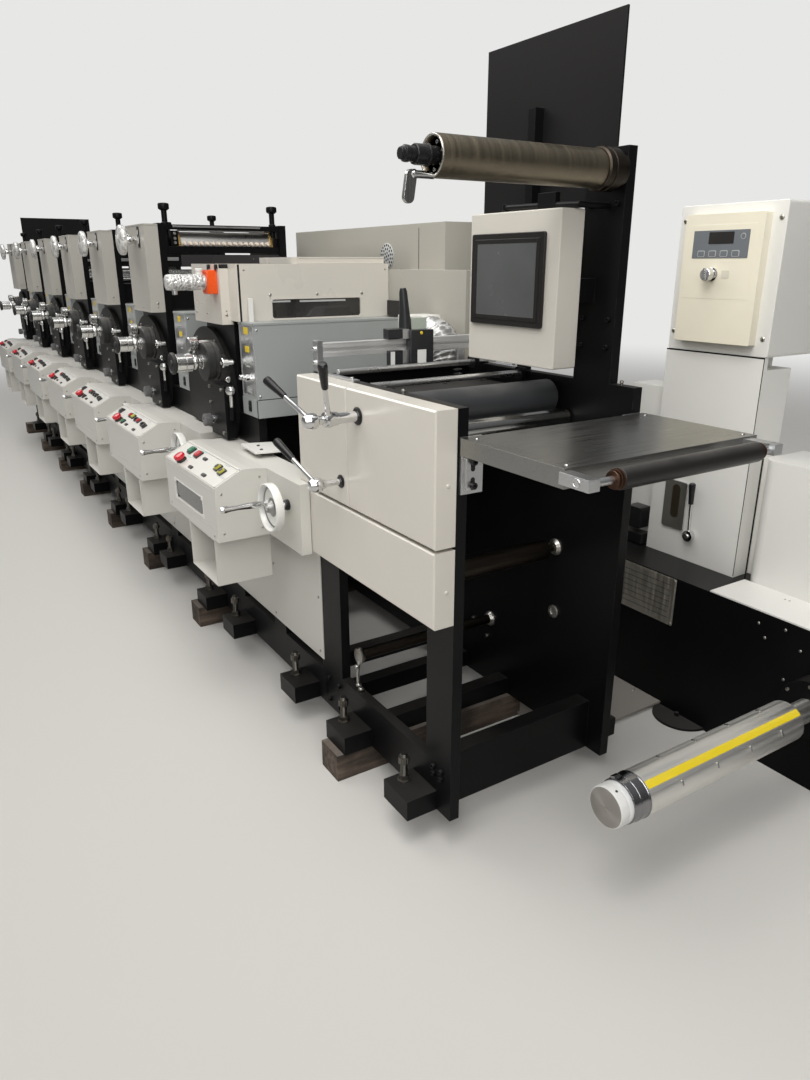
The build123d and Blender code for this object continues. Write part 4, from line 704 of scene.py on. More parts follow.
# Impression levers: turned chrome hubs on bright shafts, straight bright arms leaning outward
# and tapered black grips pushed onto the arm ends. Each row holds the middle of the hub, the
# angle of the arm, the radius of the shaft and how far the hub reaches forward.
for name, hub, angle, shaft, front in (
    ("lever_upper_outer", (-351.0, -190.0, 1132.0), 148.5, 9.0, 24.0),
    ("lever_upper_inner", (-351.0, -144.0, 1132.0), 60.0, 14.0, 15.0),
    ("lever_lower", (-453.0, -134.0, 937.0), 143.0, 9.0, 24.0),
):
    level, outward = around(1.0, 17.5)
    x, z = around(level, angle)
    along = (x, -outward, z)
    steel = Shape()
    steel.turned(
        hub,
        TO_DRIVE,
        [
            (-front, 7), (-front + 2, 13), (-12, 18.5), (-4, 20.5), (5, 20.5), (12, 18),
            (16, shaft + 4), (24, shaft + 3), (25, shaft), (-62 - hub[1], shaft), (-61 - hub[1], shaft),
        ],
        36,
    )
    steel.turned(hub, along, [(10, 9.5), (19, 9), (24, 6.6), (112, 6.2)], 20)
    build(steel, name + "_steel", chrome, name + "_body", stands_for=[name])
    grip = Shape()
    grip.turned(
        hub, along,
        [(104, 6.3), (105, 8.2), (110, 8.8), (150, 11.0), (172, 12.2), (178, 11.2), (181, 8), (182, 0)],
        22
    )
    build(grip, name + "_grip", black_plastic, name + "_body")

# Nip rollers: a dark rubber covered roller with chamfered ends over a ground steel one, and two
# bright guide rods clamped across the top.
nip_steel = worked_steel(
    "polished_nip_steel", (0.46, 0.46, 0.45), 0.16, (4.0, 60.0, 4.0), 0.0, spread=0.04, stained=0.15
)
roller_rubber = CAD["rubber_nip_roller"].data.materials[0]
roller_bearings = Shape()
for name, x, z, radius, chamfer, ring, skin, slot in (
    ("rubber_nip_roller", -310.0, 1138.0, 48.0, 9.0, 30.0, roller_rubber, "dark_rubber"),
    ("steel_nip_roller", -245.0, 1086.0, 28.0, 1.5, 24.0, nip_steel, "chrome"),
):
    barrel = Shape()
    near_end = [(36, radius - chamfer), (36 + chamfer, radius)]
    far_end = [(551 - chamfer, radius), (551, radius - chamfer)]
    barrel.turned((x, 0, z), TO_DRIVE, near_end + far_end, 56)
    build(barrel, name + "_barrel", skin, name + "_body", stands_for=[name])
    journals = Shape()
    journals.turned((x, 0, z), TO_DRIVE, [(2, 12), (585, 12)], 24)
    build(journals, name + "_journals", ground_steel, name + "_body")
    bearing = [(-0.5, 12.6), (-0.5, ring), (3, ring), (4, ring - 3), (4, 12.6)]
    for y, way in PLATE_INSIDES:
        roller_bearings.turned((x, y, z), (0, way, 0), bearing, 30)
guide_rods = Shape()
guide_rods.turned(
    (-617.0, 0, 1208.0), TO_DRIVE, [(24, 0), (24, 7.5), (25, 8.5), (562, 8.5), (563, 7.5), (563, 0)], 40
)
guide_rods.turned((-440.0, 0, 1190.0), TO_DRIVE, [(30, 8.5), (557, 8.5)], 40)
drawn_rod = worked_steel(
    "drawn_aluminium_rod", (0.80, 0.80, 0.79), 0.28, (6.0, 6.0, 6.0), 0.0, spread=0.03, stained=0.1
)
build(guide_rods, "guide_rod_bars", drawn_rod, stands_for=["bright_guide_rods"])
rod_clamps = Shape()
rod_clamps.slab(rounded(-636.0, -598.0, 1190.0, 1224.0, 5.0, 4), "y", 497.0, 516.0)
rod_clamps.slab(rounded(-457.0, -423.0, 1172.0, 1207.0, 5.0, 4), "y", 541.0, 556.5)
cap_screw(rod_clamps, (-617.0, 506.5, 1224.0), UP, 4.5, 4.5)
build(rod_clamps, "guide_rod_clamps", black_plastic, edge=1.0)
bearing_bronze = worked_steel(
    "oiled_bronze", (0.11, 0.062, 0.042), 0.38, (60.0, 10.0, 60.0), 0.06, (0.05, 0.032, 0.024), 0.3
)
build(roller_bearings, "roller_bearings", bearing_bronze)

# Outfeed table: a folded tray of brushed stainless steel on two slotted end brackets. Black
# clamp screws sit in the slots, and chromed sockets beside the brackets take the edge roller.
TABLE_TOP = 1133.0
EDGE_X, EDGE_Z = 410.0, 1118.0
table_fittings = Shape()
for y in (24.0, 561.0):
    for x in (325.0, 40.0):
        dome_screw(table_fittings, (x, y, TABLE_TOP), UP, 5.0)
build(table_fittings, "table_screws", ground_steel)
slotted_blocks = Shape()
slot_marks = Shape()
clamp_screws = Shape()
for y0 in (11.0, 539.0):
    slotted_blocks.slab(rounded(y0, y0 + 36.0, 1012.0, 1088.0, 4.0), "x", 11.0, 22.0)
    for z in (1028.0, 1072.0):
        slot_marks.slab(rounded(y0 + 12.0, y0 + 24.0, z - 17.0, z + 13.0, 5.5), "x", 21.0, 22.6)
        cap_screw(clamp_screws, (22.5, y0 + 18.0, z + (6.0 if z > 1050 else -6.0)), TO_END, 8.5, 9.0)
build(slotted_blocks, "table_slotted_blocks", aluminium, edge=1.0)
build(slot_marks, "table_slots", black_plastic)
build(clamp_screws, "table_clamp_screws", black_plastic)
edge_sockets = Shape()
for y, way in ((-14.0, -1), (564.0, 1)):
    edge_sockets.turned(
        (EDGE_X - 19.0, y, EDGE_Z), (0, way, 0),
        [(-0.5, 9.5), (1.5, 9.5), (2.5, 8.0), (2.5, 6.0), (0.6, 5.6)], 24
    )
build(edge_sockets, "edge_roller_sockets", chrome)

# Edge roller: a tube covered in dark rubber with chamfered ends, on a bright shaft at the edge
# of the table, with a turned bronze ring at either end
edge_skin = CAD["table_edge_roller"].data.materials[0]
build(
    Shape().turned(
        (EDGE_X, 0, EDGE_Z), TO_DRIVE,
        [(73, 8.4), (73, 19), (76, 22), (489, 22), (492, 19), (492, 8.4)], 40,
    ),
    "edge_roller_cover", edge_skin, "table_edge_roller_body",
    stands_for=["table_edge_roller"],
)
end_rings = Shape()
for y, way in ((73.0, -1), (492.0, 1)):
    end_rings.turned(
        (EDGE_X, y, EDGE_Z),
        (0, way, 0),
        [
            (-2, 8.4), (-2, 21), (1, 21), (2, 17), (4, 17), (5, 20), (7, 20), (8, 15), (11, 15),
            (12, 18), (14, 17), (14, 8.4),
        ],
        32,
    )
build(end_rings, "edge_roller_rings", bearing_bronze, "table_edge_roller_body")

# Core roller: a bronzed steel tube carried on one side by the tall post. Its open end shows a
# sunk plate with bolts, a black hand nut holds the core, and a latch hangs from the tip.
CORE = Vector((-113.0, 0.0, 1715.0))
LATCH_Z = 1677.0
core_tube = Shape()
tube_profile = [(14, 0), (14, 35.5), (2, 37), (0, 38.5), (0, 43), (1.5, 44), (479, 44), (480, 40)]
core_tube.turned(CORE, TO_DRIVE, tube_profile, 64)
build(
    Shape().turned(
        CORE, TO_DRIVE,
        [
            (479, 36), (479, 46), (483, 50), (497, 50), (498, 48), (502, 48), (503, 50), (530, 50),
            (531, 44), (551, 43), (551, 15), (585, 15),
        ],
        64,
    ),
    "core_roller_neck", dark_tube, "core_roller_body",
)
build(
    core_tube, "core_roller_tube", brown_steel, "core_roller_body",
    stands_for=["core_roller"],
)
core_rim = Shape()
core_rim.turned(
    CORE, TO_DRIVE, [(13, 36), (-0.4, 38.6), (-1.4, 40), (-1.4, 42), (-0.2, 43.4), (13, 43.4)], 64
)
for i in range(6):
    x, z = around(27, 60 * i + 20)
    cap_screw(core_rim, (CORE.x + x, 14.0, CORE.z + z), TO_OPERATOR, 4.5, 5.0)
build(core_rim, "core_roller_rim", ground_steel, "core_roller_body")
hand_nut = Shape()
hand_nut.turned(
    CORE, TO_OPERATOR, [(-14, 19), (12, 19), (12, 20.5), (14, 21), (44, 21), (46, 19.5)], 12
)
hand_nut.turned(
    CORE, TO_OPERATOR, [(46, 15.5), (58, 15.5), (60, 17), (70, 17), (72, 13), (79, 12.5), (80, 11)], 12
)
hand_nut.turned(CORE, TO_OPERATOR, [(10, 22.5), (13, 23), (16, 22.5), (16, 20)], 30)
build(hand_nut, "core_hand_nut", black_plastic, "core_roller_body", edge=1.0)
latch = Shape()
latch.turned(
    (CORE.x, 4, LATCH_Z), TO_OPERATOR,
    [(0, 8), (46, 8), (47, 10), (50, 10), (53, 10), (56, 7), (57, 0)], 24,
)
build(latch, "core_latch_pin", chrome, "core_roller_body")
latch_plate = Shape()
leaning = Matrix.Rotation(math.radians(-9), 4, "X")
latch_plate.seat = Matrix.Translation(Vector((CORE.x, -52, LATCH_Z))) @ leaning
latch_plate.slab(rounded(-13.0, 13.0, -58, 9, 12.5, 6), "x", -5.0, 5.0)
build(latch_plate, "core_latch_plate", ground_steel, "core_roller_body", edge=0.8)

# Screen box: a sheet steel housing hung from the post, with a dark framed touch screen, a
# louvred vent on its far side and a black carrying bar across the top.
screen_box = Shape()
screen_box.slab(rounded(-530.0, -160.0, 1235.0, 1630.0, 5.0, 3), "y", 420.0, 500.0)
build(screen_box, "screen_housing", cover_paint, edge=3.0, stands_for=["screen_box"])
screen_frame = Shape()
screen_frame.slab(rounded(-513.0, -208.0, 1337.0, 1577.0, 7.0, 4), "y", 411.0, 421.0)
bezel_plastic = moulded("smoked_frame_plastic", (0.018, 0.017, 0.016), 0.3, 0.0, shine=0.3)
build(screen_frame, "screen_frame", bezel_plastic, edge=2.5, stands_for=["touch_screen"])
inner_frame = Shape()
for x0, x1, z0, z1 in (
    (-496.0, -484.0, 1352.0, 1562.0),
    (-236.0, -224.0, 1352.0, 1562.0),
    (-484.0, -236.0, 1550.0, 1562.0),
    (-484.0, -236.0, 1352.0, 1364.0),
):
    inner_frame.block(x0, x1, 409.0, 412.0, z0, z1)
build(inner_frame, "screen_inner_frame", bezel_plastic, edge=1.2)


def dark_glass(name, colour, roughness):
    """Glass over a dark ground: faint smears under a clear polished coat."""
    material, tree = blank_material(name)
    wear = group_node(tree, marks, {"Edge Size": 0.001, "Tone Scale": 11.0, "Fine Scale": 90.0})
    shade = blend_colour(
        tree, span(tree, wear.outputs["Tone"], 0.0, 1.0), colour, tuple(1.1 * c + 0.001 for c in colour)
    )
    gloss = span(tree, wear.outputs["Tone"], roughness * 0.8, roughness * 1.3)
    bump = relief(tree, wear.outputs["Fine"], 0.01, 0.0003, wear.outputs["Normal"])
    surface(tree, shade, gloss, bump, {"Coat Weight": 0.6, "Coat Roughness": 0.04})
    return material


screen_glass = dark_glass("screen_glass", (0.085, 0.09, 0.09), 0.22)
build(
    Shape().block(-484.5, -235.5, 409.6, 411.4, 1363.5, 1550.5), "screen_glass", screen_glass,
)
build(
    Shape().block(-546.0, -530.0, 436.0, 478.0, 1470.0, 1600.0), "screen_side_vent", white_paint,
    edge=1.5,
)
vent_slots = Shape()
for i in range(9):
    z = 1482.0 + 13.0 * i
    vent_slots.block(-546.6, -533.0, 435.2, 470.0, z, z + 4.5)
build(vent_slots, "screen_vent_slots", black_plastic)
top_bar = Shape()
top_bar.tube(
    [(-440, 470, 1644), (-300, 470, 1642), (-150, 470, 1638), (-140, 500, 1637), (-140, 557, 1637)],
    8.0, 14,
)
top_bar.block(-300.0, -232.0, 462.0, 478.0, 1630.0, 1672.0)
top_bar.turned((-440, 470, 1629), UP, [(0, 12), (6, 12), (8, 9), (24, 9)], 18)
build(top_bar, "screen_top_bar", black_paint, edge=1.0)
box_screws = Shape()
for x in (-518.0, -172.0):
    for z in (1247.0, 1618.0):
        dome_screw(box_screws, (x, 500.0, z), TO_DRIVE, 4.5)
build(box_screws, "screen_box_screws", zinc)

# Shield board: a thin matt black sheet, fixed to the back of the post and the strut by two
# pairs of dome headed bolts
board_bolts = Shape()
for x, z in ((-450.0, 1680.0), (-450.0, 1860.0), (-180.0, 1665.0), (-180.0, 1745.0)):
    dome_screw(board_bolts, (x, 593.0, z), TO_DRIVE, 7.0)
build(board_bolts, "shield_board_bolts", zinc)

# Inspection rail: slotted aluminium profile on two angle brackets, carrying a sensor block in a
# black case, its clamp and a black handle. The label plate on the case is left blank.
profile = [
    (-15, -20), (15, -20), (15, -4), (10, -4), (10, -8), (6, -8), (6, 8), (10, 8), (10, 4), (15, 4),
    (15, 20),
]
profile += [(4, 20), (4, 15), (8, 15), (8, 11), (-8, 11), (-8, 15), (-4, 15), (-4, 20), (-15, 20)]
RAIL_X = -710.0
rail = Shape()
rail.slab([(RAIL_X + a, 1262.0 + b) for a, b in profile], "y", 19.0, 568.0)
rail_along = worked_steel(
    "anodised_profile", (0.88, 0.88, 0.88), 0.5, (260.0, 4.0, 260.0), 0.01, spread=0.06
)
build(rail, "inspection_profile", rail_along, stands_for=["inspection_rail"])
rail_brackets = Shape()
rail_screws = Shape()
for y0, y1, face in ((0.0, 20.0, -1), (567.0, DRIVE_FACE, 1)):
    rail_brackets.block(-725.0, -695.0, y0, y1, 1197.0, 1290.0)
    rail_brackets.block(-725.0, -480.0, y0, y1, 1197.0, 1203.0)
    for z in (1228.0, 1267.0):
        cap_screw(rail_screws, (RAIL_X, y0 if face < 0 else y1, z), (0, face, 0), 6.0, 7.0)
    for x in (-505.0, -660.0):
        cap_screw(rail_screws, (x, (y0 + y1) / 2, 1203.0), UP, 5.5, 5.0)
build(rail_brackets, "inspection_brackets", aluminium, edge=1.0)
build(rail_screws, "inspection_screws", chrome)
case_black = moulded("sensor_case_black", (0.018, 0.019, 0.021), 0.36, 0.1, shine=0.35)
sensor = Shape()
sensor.slab(rounded(304.0, 385.0, 1200.0, 1309.0, 3.0, 3), "x", -695.0, -664.0)
sensor.block(-725.0, -694.0, 312.0, 376.0, 1283.0, 1306.0)
sensor.block(-697.0, -673.0, 228.0, 279.0, 1286.0, 1313.0)
sensor.block(-725.0, -700.0, 240.0, 323.0, 1281.0, 1313.0)
sensor.block(-697.0, -673.0, 234.0, 279.0, 1200.0, 1250.0)
handle_line = ((310, 1312), (309, 1330), (307, 1370), (303, 1418), (302, 1430))
sensor.tube([(RAIL_X, y, z) for y, z in handle_line], [20, 19, 15, 12.5, 9], 20)
build(sensor, "sensor_case", case_black, edge=1.2, stands_for=["print_sensor"])
clamp = Shape()
clamp.block(-696.0, -675.0, 279.0, 304.0, 1283.0, 1312.0)
clamp.block(-695.0, -677.0, 279.0, 304.0, 1200.5, 1250.0)
clamp.block(-707.0, -697.0, 505.0, 526.0, 1200.0, 1242.0)
build(clamp, "sensor_clamp", aluminium, edge=1.0)
pale_green = moulded("terminal_grey_green", (0.42, 0.46, 0.40), 0.35, 0.2)
build(
    Shape().slab(rounded(325.0, 380.0, 1304.0, 1343.0, 3.0, 3), "x", -722.0, -696.0), "sensor_terminal",
    pale_green, edge=1.5,
)
blank_label = moulded("blank_label_white", (0.74, 0.74, 0.72), 0.45)
labels = Shape()
labels.block(-664.2, -663.4, 326.0, 358.0, 1204.0, 1250.0)
labels.block(-673.2, -672.4, 235.0, 250.0, 1203.0, 1248.0)
build(labels, "sensor_blank_label", blank_label)
signal_yellow = moulded("label_yellow", (0.78, 0.58, 0.03), 0.4)
build(
    Shape().turned((-664.0, 340.0, 1300.0), TO_END, [(0, 5), (1.2, 5), (2.2, 3.5)], 18),
    "sensor_yellow_dot", signal_yellow,
)

# Consoles: folded sheet desks with a raised rim round the sloping panel. Each carries turned
# push buttons, black rockers and blank label strips; the first one has a glazed window.
PANEL_RUN = Vector((0.0, 93.0, 49.0)).normalized()


def panel_seat(near, back, up):
    """A seat on the sloping desk: x to the near end, y up the slope, z out of the sheet."""
    out = Vector((1.0, 0.0, 0.0)).cross(PANEL_RUN)
    turn = Matrix((Vector((1.0, 0.0, 0.0)), PANEL_RUN, out)).transposed().to_4x4()
    return Matrix.Translation(Vector((near - back, -271.0, 841.0)) + PANEL_RUN * up) @ turn


push_black = moulded("push_black", (0.018, 0.018, 0.02), 0.3, 0.2)
push_green = moulded("push_green", (0.02, 0.20, 0.10), 0.25, 0.4)
push_red = moulded("push_red", (0.50, 0.015, 0.03), 0.25, 0.4)
push_yellow = moulded("push_yellow", (0.50, 0.47, 0.05), 0.28, 0.3)
label_mint = moulded("label_mint", (0.42, 0.60, 0.52), 0.4)
label_grey = moulded("label_silver_grey", (0.50, 0.51, 0.50), 0.35)
desk_rims = Shape()
buttons = {label: Shape() for label in ("black", "green", "red", "yellow", "mint", "silver")}


def square_button(near, back, up, colour, half=11.0):
    """A square push button: black frame on the sheet and a raised rounded cap in colour."""
    for shape in (buttons["black"], buttons[colour]):
        shape.seat = panel_seat(near, back, up)
    frame_half = half + 4.0
    buttons["black"].slab(
        rounded(-frame_half, frame_half, -frame_half, frame_half, 4.0, 3), "z", -0.5, 5.0
    )
    buttons[colour].slab(rounded(-half, half, -half, half, 4.0, 3), "z", 4.5, 10.0)
    buttons[colour].slab(
        rounded(2.0 - half, half - 2.0, 2.0 - half, half - 2.0, 3.0, 3), "z", 10.0, 11.2
    )


def rocker(near, back, up, wide, tall):
    """A black oval rocker with a thin frame."""
    buttons["black"].seat = panel_seat(near, back, up)
    buttons["black"].slab(rounded(-wide, wide, -tall, tall, tall * 0.8, 5), "z", -0.5, 2.5)
    buttons["black"].slab(
        rounded(-wide + 3, wide - 3, -tall + 3, tall - 3, tall * 0.4, 3), "z", 2.5, 4.5
    )


def panel_label(near, back, up, wide, tall, colour):
    buttons[colour].seat = panel_seat(near, back, up)
    buttons[colour].slab(rounded(-wide, wide, -tall, tall, 1.5, 2), "z", -0.3, 0.9)


DESK_LENGTHS = [520.0] + [550.0] * len(UNITS)
for i, (near, length) in enumerate(zip(CONSOLE_ENDS, DESK_LENGTHS)):
    desk_rims.seat = panel_seat(near, 0, 0)
    for x0, x1, y0, y1 in (
        (-length + 6.0, -6.0, 3.0, 8.0),
        (-length + 6.0, -6.0, 97.0, 102.0),
        (-length + 6.0, -length + 11.0, 3.0, 102.0),
        (-11.0, -6.0, 3.0, 102.0),
    ):
        desk_rims.block(x0, x1, y0, y1, -0.5, 2.6)
    if i == 0:
        square_button(near, 405.0, 74.0, "green", 13.0)
        square_button(near, 332.0, 73.0, "red", 13.0)
        for back, up in ((122.0, 68.0), (74.0, 62.0)):
            square_button(near, back, up, "yellow")
            rocker(near, back, up, 6.0, 6.0)
            buttons["black"].slab(rounded(-7.5, 7.5, -7.5, 7.5, 4.0, 3), "z", 10.0, 12.4)
        for back, up in ((260.0, 72.0), (277.0, 19.0), (146.0, 20.0)):
            rocker(near, back, up, 17.0, 6.5)
        for back, up, colour in (
            (321.0, 95.0, "mint"), (372.0, 50.0, "mint"), (96.0, 94.0, "silver"), (40.0, 48.0, "silver")
        ):
            panel_label(near, back, up, 19.0, 3.2, colour)
        continue
    square_button(near, 480.0, 66.0, "black")
    square_button(near, 330.0, 70.0, "red", 9.0)
    square_button(near, 290.0, 70.0, "yellow" if i == 1 else "black", 9.0)
    square_button(near, 320.0, 26.0, "green" if i == 1 else "black", 9.0)
    square_button(near, 190.0, 66.0, "red" if i == 1 else "black", 9.0)
    for back, up in ((235.0, 66.0), (118.0, 62.0), (80.0, 58.0)):
        square_button(near, back, up, "black", 8.0)
    for back, up in ((255.0, 22.0), (130.0, 20.0)):
        rocker(near, back, up, 16.0, 6.5)
    for back, up, colour in ((330.0, 92.0, "mint"), (215.0, 92.0, "silver"), (100.0, 90.0, "silver")):
        panel_label(near, back, up, 17.0, 3.0, colour)
build(desk_rims, "console_panel_rims", console_paint, edge=0.8)
for label, material, slot in (
    ("black", push_black, "disc"),
    ("green", push_green, "grey"),
    ("red", push_red, "red"),
    ("yellow", push_yellow, "cream"),
    ("mint", label_mint, "grey"),
    ("silver", label_grey, "grey"),
):
    build(buttons[label], "console_buttons_" + label, material)

# Stop buttons: moulded red mushroom caps on dark turned bases, one set square on the sloping
# panel of every console
stop_caps = Shape()
stop_bases = Shape()
for near in CONSOLE_ENDS:
    for shape in (stop_caps, stop_bases):
        shape.seat = panel_seat(near, 380.0, 22.0)
    stop_bases.turned((0, 0, 0), UP, [(-0.3, 18), (7, 18), (8, 16.5), (8, 14), (14, 14)], 28)
    stop_caps.turned(
        (0, 0, 0), UP, [(9, 14), (11, 17), (15, 19.5), (22, 20), (26, 18.5), (28, 14), (28.6, 0)], 28
    )
stop_red = moulded("stop_button_red", (0.62, 0.015, 0.03), 0.24, 0.5)
build(stop_caps, "stop_caps", stop_red, stands_for=["emergency_stops"])
build(stop_bases, "stop_bases", push_black)

# Console window and folds: a smoked pane in the sunk opening of the first console with white
# corner gaskets; seams and screws where each desk meets its back box
DESK_FRONT = -270.0
window = Shape()
window.block(-1319.0, -1031.0, DESK_FRONT + 2.6, DESK_FRONT + 4.8, 717.0, 778.0)
build(
    window, "console_window_pane", dark_glass("window_glass", (0.016, 0.016, 0.017), 0.18),
)
gasket = Shape()
for x0, x1 in ((-1327.0, -1309.0), (-1041.0, -1023.0)):
    for z0, z1 in ((709.0, 724.0), (771.0, 786.0)):
        gasket.block(x0, x1, DESK_FRONT - 2.6, DESK_FRONT, z0, z1)
for x0, x1, z0, z1 in (
    (-1324.0, -1026.0, 780.0, 784.0),
    (-1324.0, -1026.0, 711.0, 715.0),
    (-1325.0, -1321.0, 711.0, 784.0),
    (-1029.0, -1025.0, 711.0, 784.0),
):
    gasket.block(x0, x1, DESK_FRONT - 2.2, DESK_FRONT, z0, z1)
build(gasket, "console_window_gasket", white_paint, edge=0.8)
console_screws = Shape()
console_folds = Shape()
for near, length in zip(CONSOLE_ENDS, DESK_LENGTHS):
    for y, z in ((-250.0, 690.0), (-250.0, 820.0), (-120.0, 690.0), (-120.0, 860.0)):
        dome_screw(console_screws, (near, y, z), TO_END, 4.0)
    for x in (near - 30.0, near - length + 30.0):
        dome_screw(console_screws, (x, DESK_FRONT - 1.0, 678.0), TO_OPERATOR, 4.0)
    for z in (700.0, 826.0):
        console_folds.block(
            near - length + 14.0, near - 14.0, DESK_FRONT - 1.8, DESK_FRONT - 0.5, z, z + 1.4
        )
build(console_screws, "console_screws", zinc)
build(console_folds, "console_front_folds", console_paint)

# Trays under the consoles: bent sheet with a round hem on the lip, hung on two screws from
# every desk but the first
tray_lips = Shape()
for near in CONSOLE_ENDS[1:]:
    sides = (near - 293.0, near - 42.0)
    for x in sides:
        tray_lips.tube([(x, DESK_FRONT - 2, 503), (x, DESK_FRONT - 2, 658)], 3.0, 10)
    tray_lips.tube([(x, DESK_FRONT - 2, 502) for x in sides], 3.0, 10)
build(tray_lips, "console_tray_lips", console_paint)
tray_screws = Shape()
for near in CONSOLE_ENDS[1:]:
    for x in (near - 65.0, near - 270.0):
        dome_screw(tray_screws, (x, DESK_FRONT - 2, 646.0), TO_OPERATOR, 3.5)
build(tray_screws, "console_tray_screws", zinc)

# Handwheels: thin pressed dish with a rolled rim and turned boss on a bright shaft. The crank
# handle is chromed and turned; a black bush takes the shaft in the console wall.
WHEEL_FROM_END, WHEEL_Z = 159.0, 803.0


def wheel_sets(kind, places):
    """Node, body and places: two wheels that turn, and the rest that are fixed to the machine."""
    for number in (1, 2):
        node = f"{kind}_handwheel_{number}"
        yield node, node + "_body", places[number - 1:number]
    yield kind + "_handwheels_far", "machine", places[2:]


def console_wheel(dish, rim, bright, near):
    """One wheel about its shaft, given by the near end of its console."""
    x, z = near + WHEEL_FROM_END, WHEEL_Z
    place = (x, -138.0, z)
    rim.turned(
        place, TO_OPERATOR,
        [
            (0, 62), (0, 70), (2, 74), (5, 75), (25, 75), (27, 74), (28, 72), (27, 70), (20, 66),
            (10, 64),
        ],
        56,
    )
    dish.turned(
        place, TO_OPERATOR,
        [
            (2, 0), (2, 64), (10, 64.5), (12, 62), (9, 55), (9, 34), (12, 22), (20, 16), (28, 14),
            (28, 0),
        ],
        48,
    )
    bright.turned(place, TO_DRIVE, [(-30, 7), (-30, 9), (26, 9), (26, 11), (58, 11), (60, 9)], 20)
    grip = [
        (0, 7), (20, 7), (24, 9), (30, 10.5), (60, 10), (96, 7.5), (120, 8.5), (138, 11), (146, 11),
        (151, 8), (152, 0),
    ]
    bright.turned((x - 50.0, -143.0, z), TO_OPERATOR, grip, 24)
    bright.hexagon((x - 50.0, -147.0, z), TO_OPERATOR, 17.0, 6.0)


dish_grey = worked_steel(
    "spun_dish_grey", (0.36, 0.36, 0.35), 0.42, (9.0, 9.0, 9.0), 0.03, spread=0.08, stained=0.2
)
rim_white = moulded("handwheel_rim_white", (0.80, 0.80, 0.77), 0.28, 0.3)
wheel_bushes = Shape()
for near in CONSOLE_ENDS:
    wheel_bushes.turned(
        (near + WHEEL_FROM_END, -95.0, WHEEL_Z), TO_OPERATOR,
        [(-1, 17), (8, 17), (10, 15), (14, 14), (14, 11.6)], 24,
    )
build(wheel_bushes, "handwheel_bushes", black_plastic)
for node, body, places in wheel_sets("console", CONSOLE_ENDS):
    dish, rim, bright = Shape(), Shape(), Shape()
    for near in places:
        console_wheel(dish, rim, bright, near)
    build(dish, node + "_dish", dish_grey, body, stands_for=[node])
    build(rim, node + "_rim", rim_white, body)
    build(bright, node + "_crank", chrome, body)

# Hood of the varnishing unit: folded cover with a smoked window in its sunk opening, a lid on
# top and a side cover held by two black clips. The window's frame and pale strip lie inside.
build(
    Shape().slab(rounded(114.5, 475.5, 1313.5, 1384.5, 2.0, 2), "x", -1286.4, -1284.4),
    "hood_window_pane", dark_glass("hood_glass", (0.022, 0.021, 0.020), 0.16),
)
window_frame = Shape()
inner = rounded(118.0, 472.0, 1317.0, 1381.0, 9.0, 5)
outer = rounded(111.0, 479.0, 1310.5, 1388.0, 14.0, 5)
ring = [(-1280.4, a, b) for a, b in outer] + [(-1278.9, a, b) for a, b in outer]
ring += [(-1278.9, a, b) for a, b in inner] + [(-1284.4, a, b) for a, b in inner]
count = len(outer)
faces = []
for low, high in ((0, 1), (1, 2), (2, 3)):
    for i in range(count):
        j = (i + 1) % count
        faces.append((low * count + i, low * count + j, high * count + j, high * count + i))
window_frame.faces(ring, faces)
build(window_frame, "hood_window_frame", cover_paint)
inner_strip = Shape()
for y0, y1, z0, z1 in ((226.0, 411.0, 1370.0, 1377.0), (110.0, 190.0, 1371.0, 1377.5)):
    inner_strip.block(-1284.6, -1283.2, y0, y1, z0, z1)
build(inner_strip, "hood_inner_strip", label_grey)
hood_marks = Shape()
HOOD_FACE = -1280.0
for x, y, z, radius in (
    (HOOD_FACE, 112.0, 1397.0, 5.5),
    (HOOD_FACE, 294.0, 1397.0, 5.5),
    (HOOD_FACE, 478.0, 1397.0, 5.5),
    (HOOD_FACE, 20.0, 1480.0, 3.6),
    (HOOD_FACE, 580.0, 1480.0, 3.6),
    (-1354.0, -24.0, 1330.0, 5.0),
    (-1354.0, -24.0, 1344.0, 3.0),
):
    dome_screw(hood_marks, (x, y, z), TO_END, radius)
for x in (-1620.0, -1500.0):
    dome_screw(hood_marks, (x, -42.0, 1330.0), TO_OPERATOR, 4.5)
build(hood_marks, "hood_screws", zinc)
side_clips = Shape()
for x in (-1373.0, -1449.0):
    side_clips.block(x - 11.0, x + 11.0, -47.0, -41.0, 1484.0, 1498.0)
    side_clips.block(x - 6.0, x + 6.0, -49.0, -46.0, 1480.0, 1492.0)
side_clips.block(-1355.0, -1353.2, -41.0, -1.0, 1485.0, 1499.0)
side_clips.block(-1354.6, -1352.8, -3.2, -0.8, 1300.0, 1498.0)
side_clips.block(-1282.5, -1279.4, -3.0, 4.5, 1300.0, 1498.0)
build(side_clips, "side_cover_clips", black_plastic, edge=1.0)
lid_trim = Shape()
for z0, z1 in ((1500.0, 1504.0), (1518.0, 1522.5)):
    lid_trim.block(-1301.0, -1298.5, 232.0, 586.0, z0, z1)
build(lid_trim, "hood_lid_folds", cover_paint, edge=0.8)

# Valve: an orange moulded box with a raised lid on the side cover of the hood. Its motor is
# still in crinkled clear film, with a white fitting on top and a bare leg below.
valve = Shape()
valve.slab(rounded(-1436.0, -1374.0, 1400.0, 1480.0, 5.0, 3), "y", -75.0, -42.0)
valve.slab(rounded(-1431.0, -1379.0, 1405.0, 1475.0, 4.0, 3), "y", -77.5, -74.0)
orange = moulded("valve_box_orange", (0.86, 0.10, 0.010), 0.26, 0.4)
build(valve, "valve_case", orange, edge=1.5, stands_for=["valve_box"])


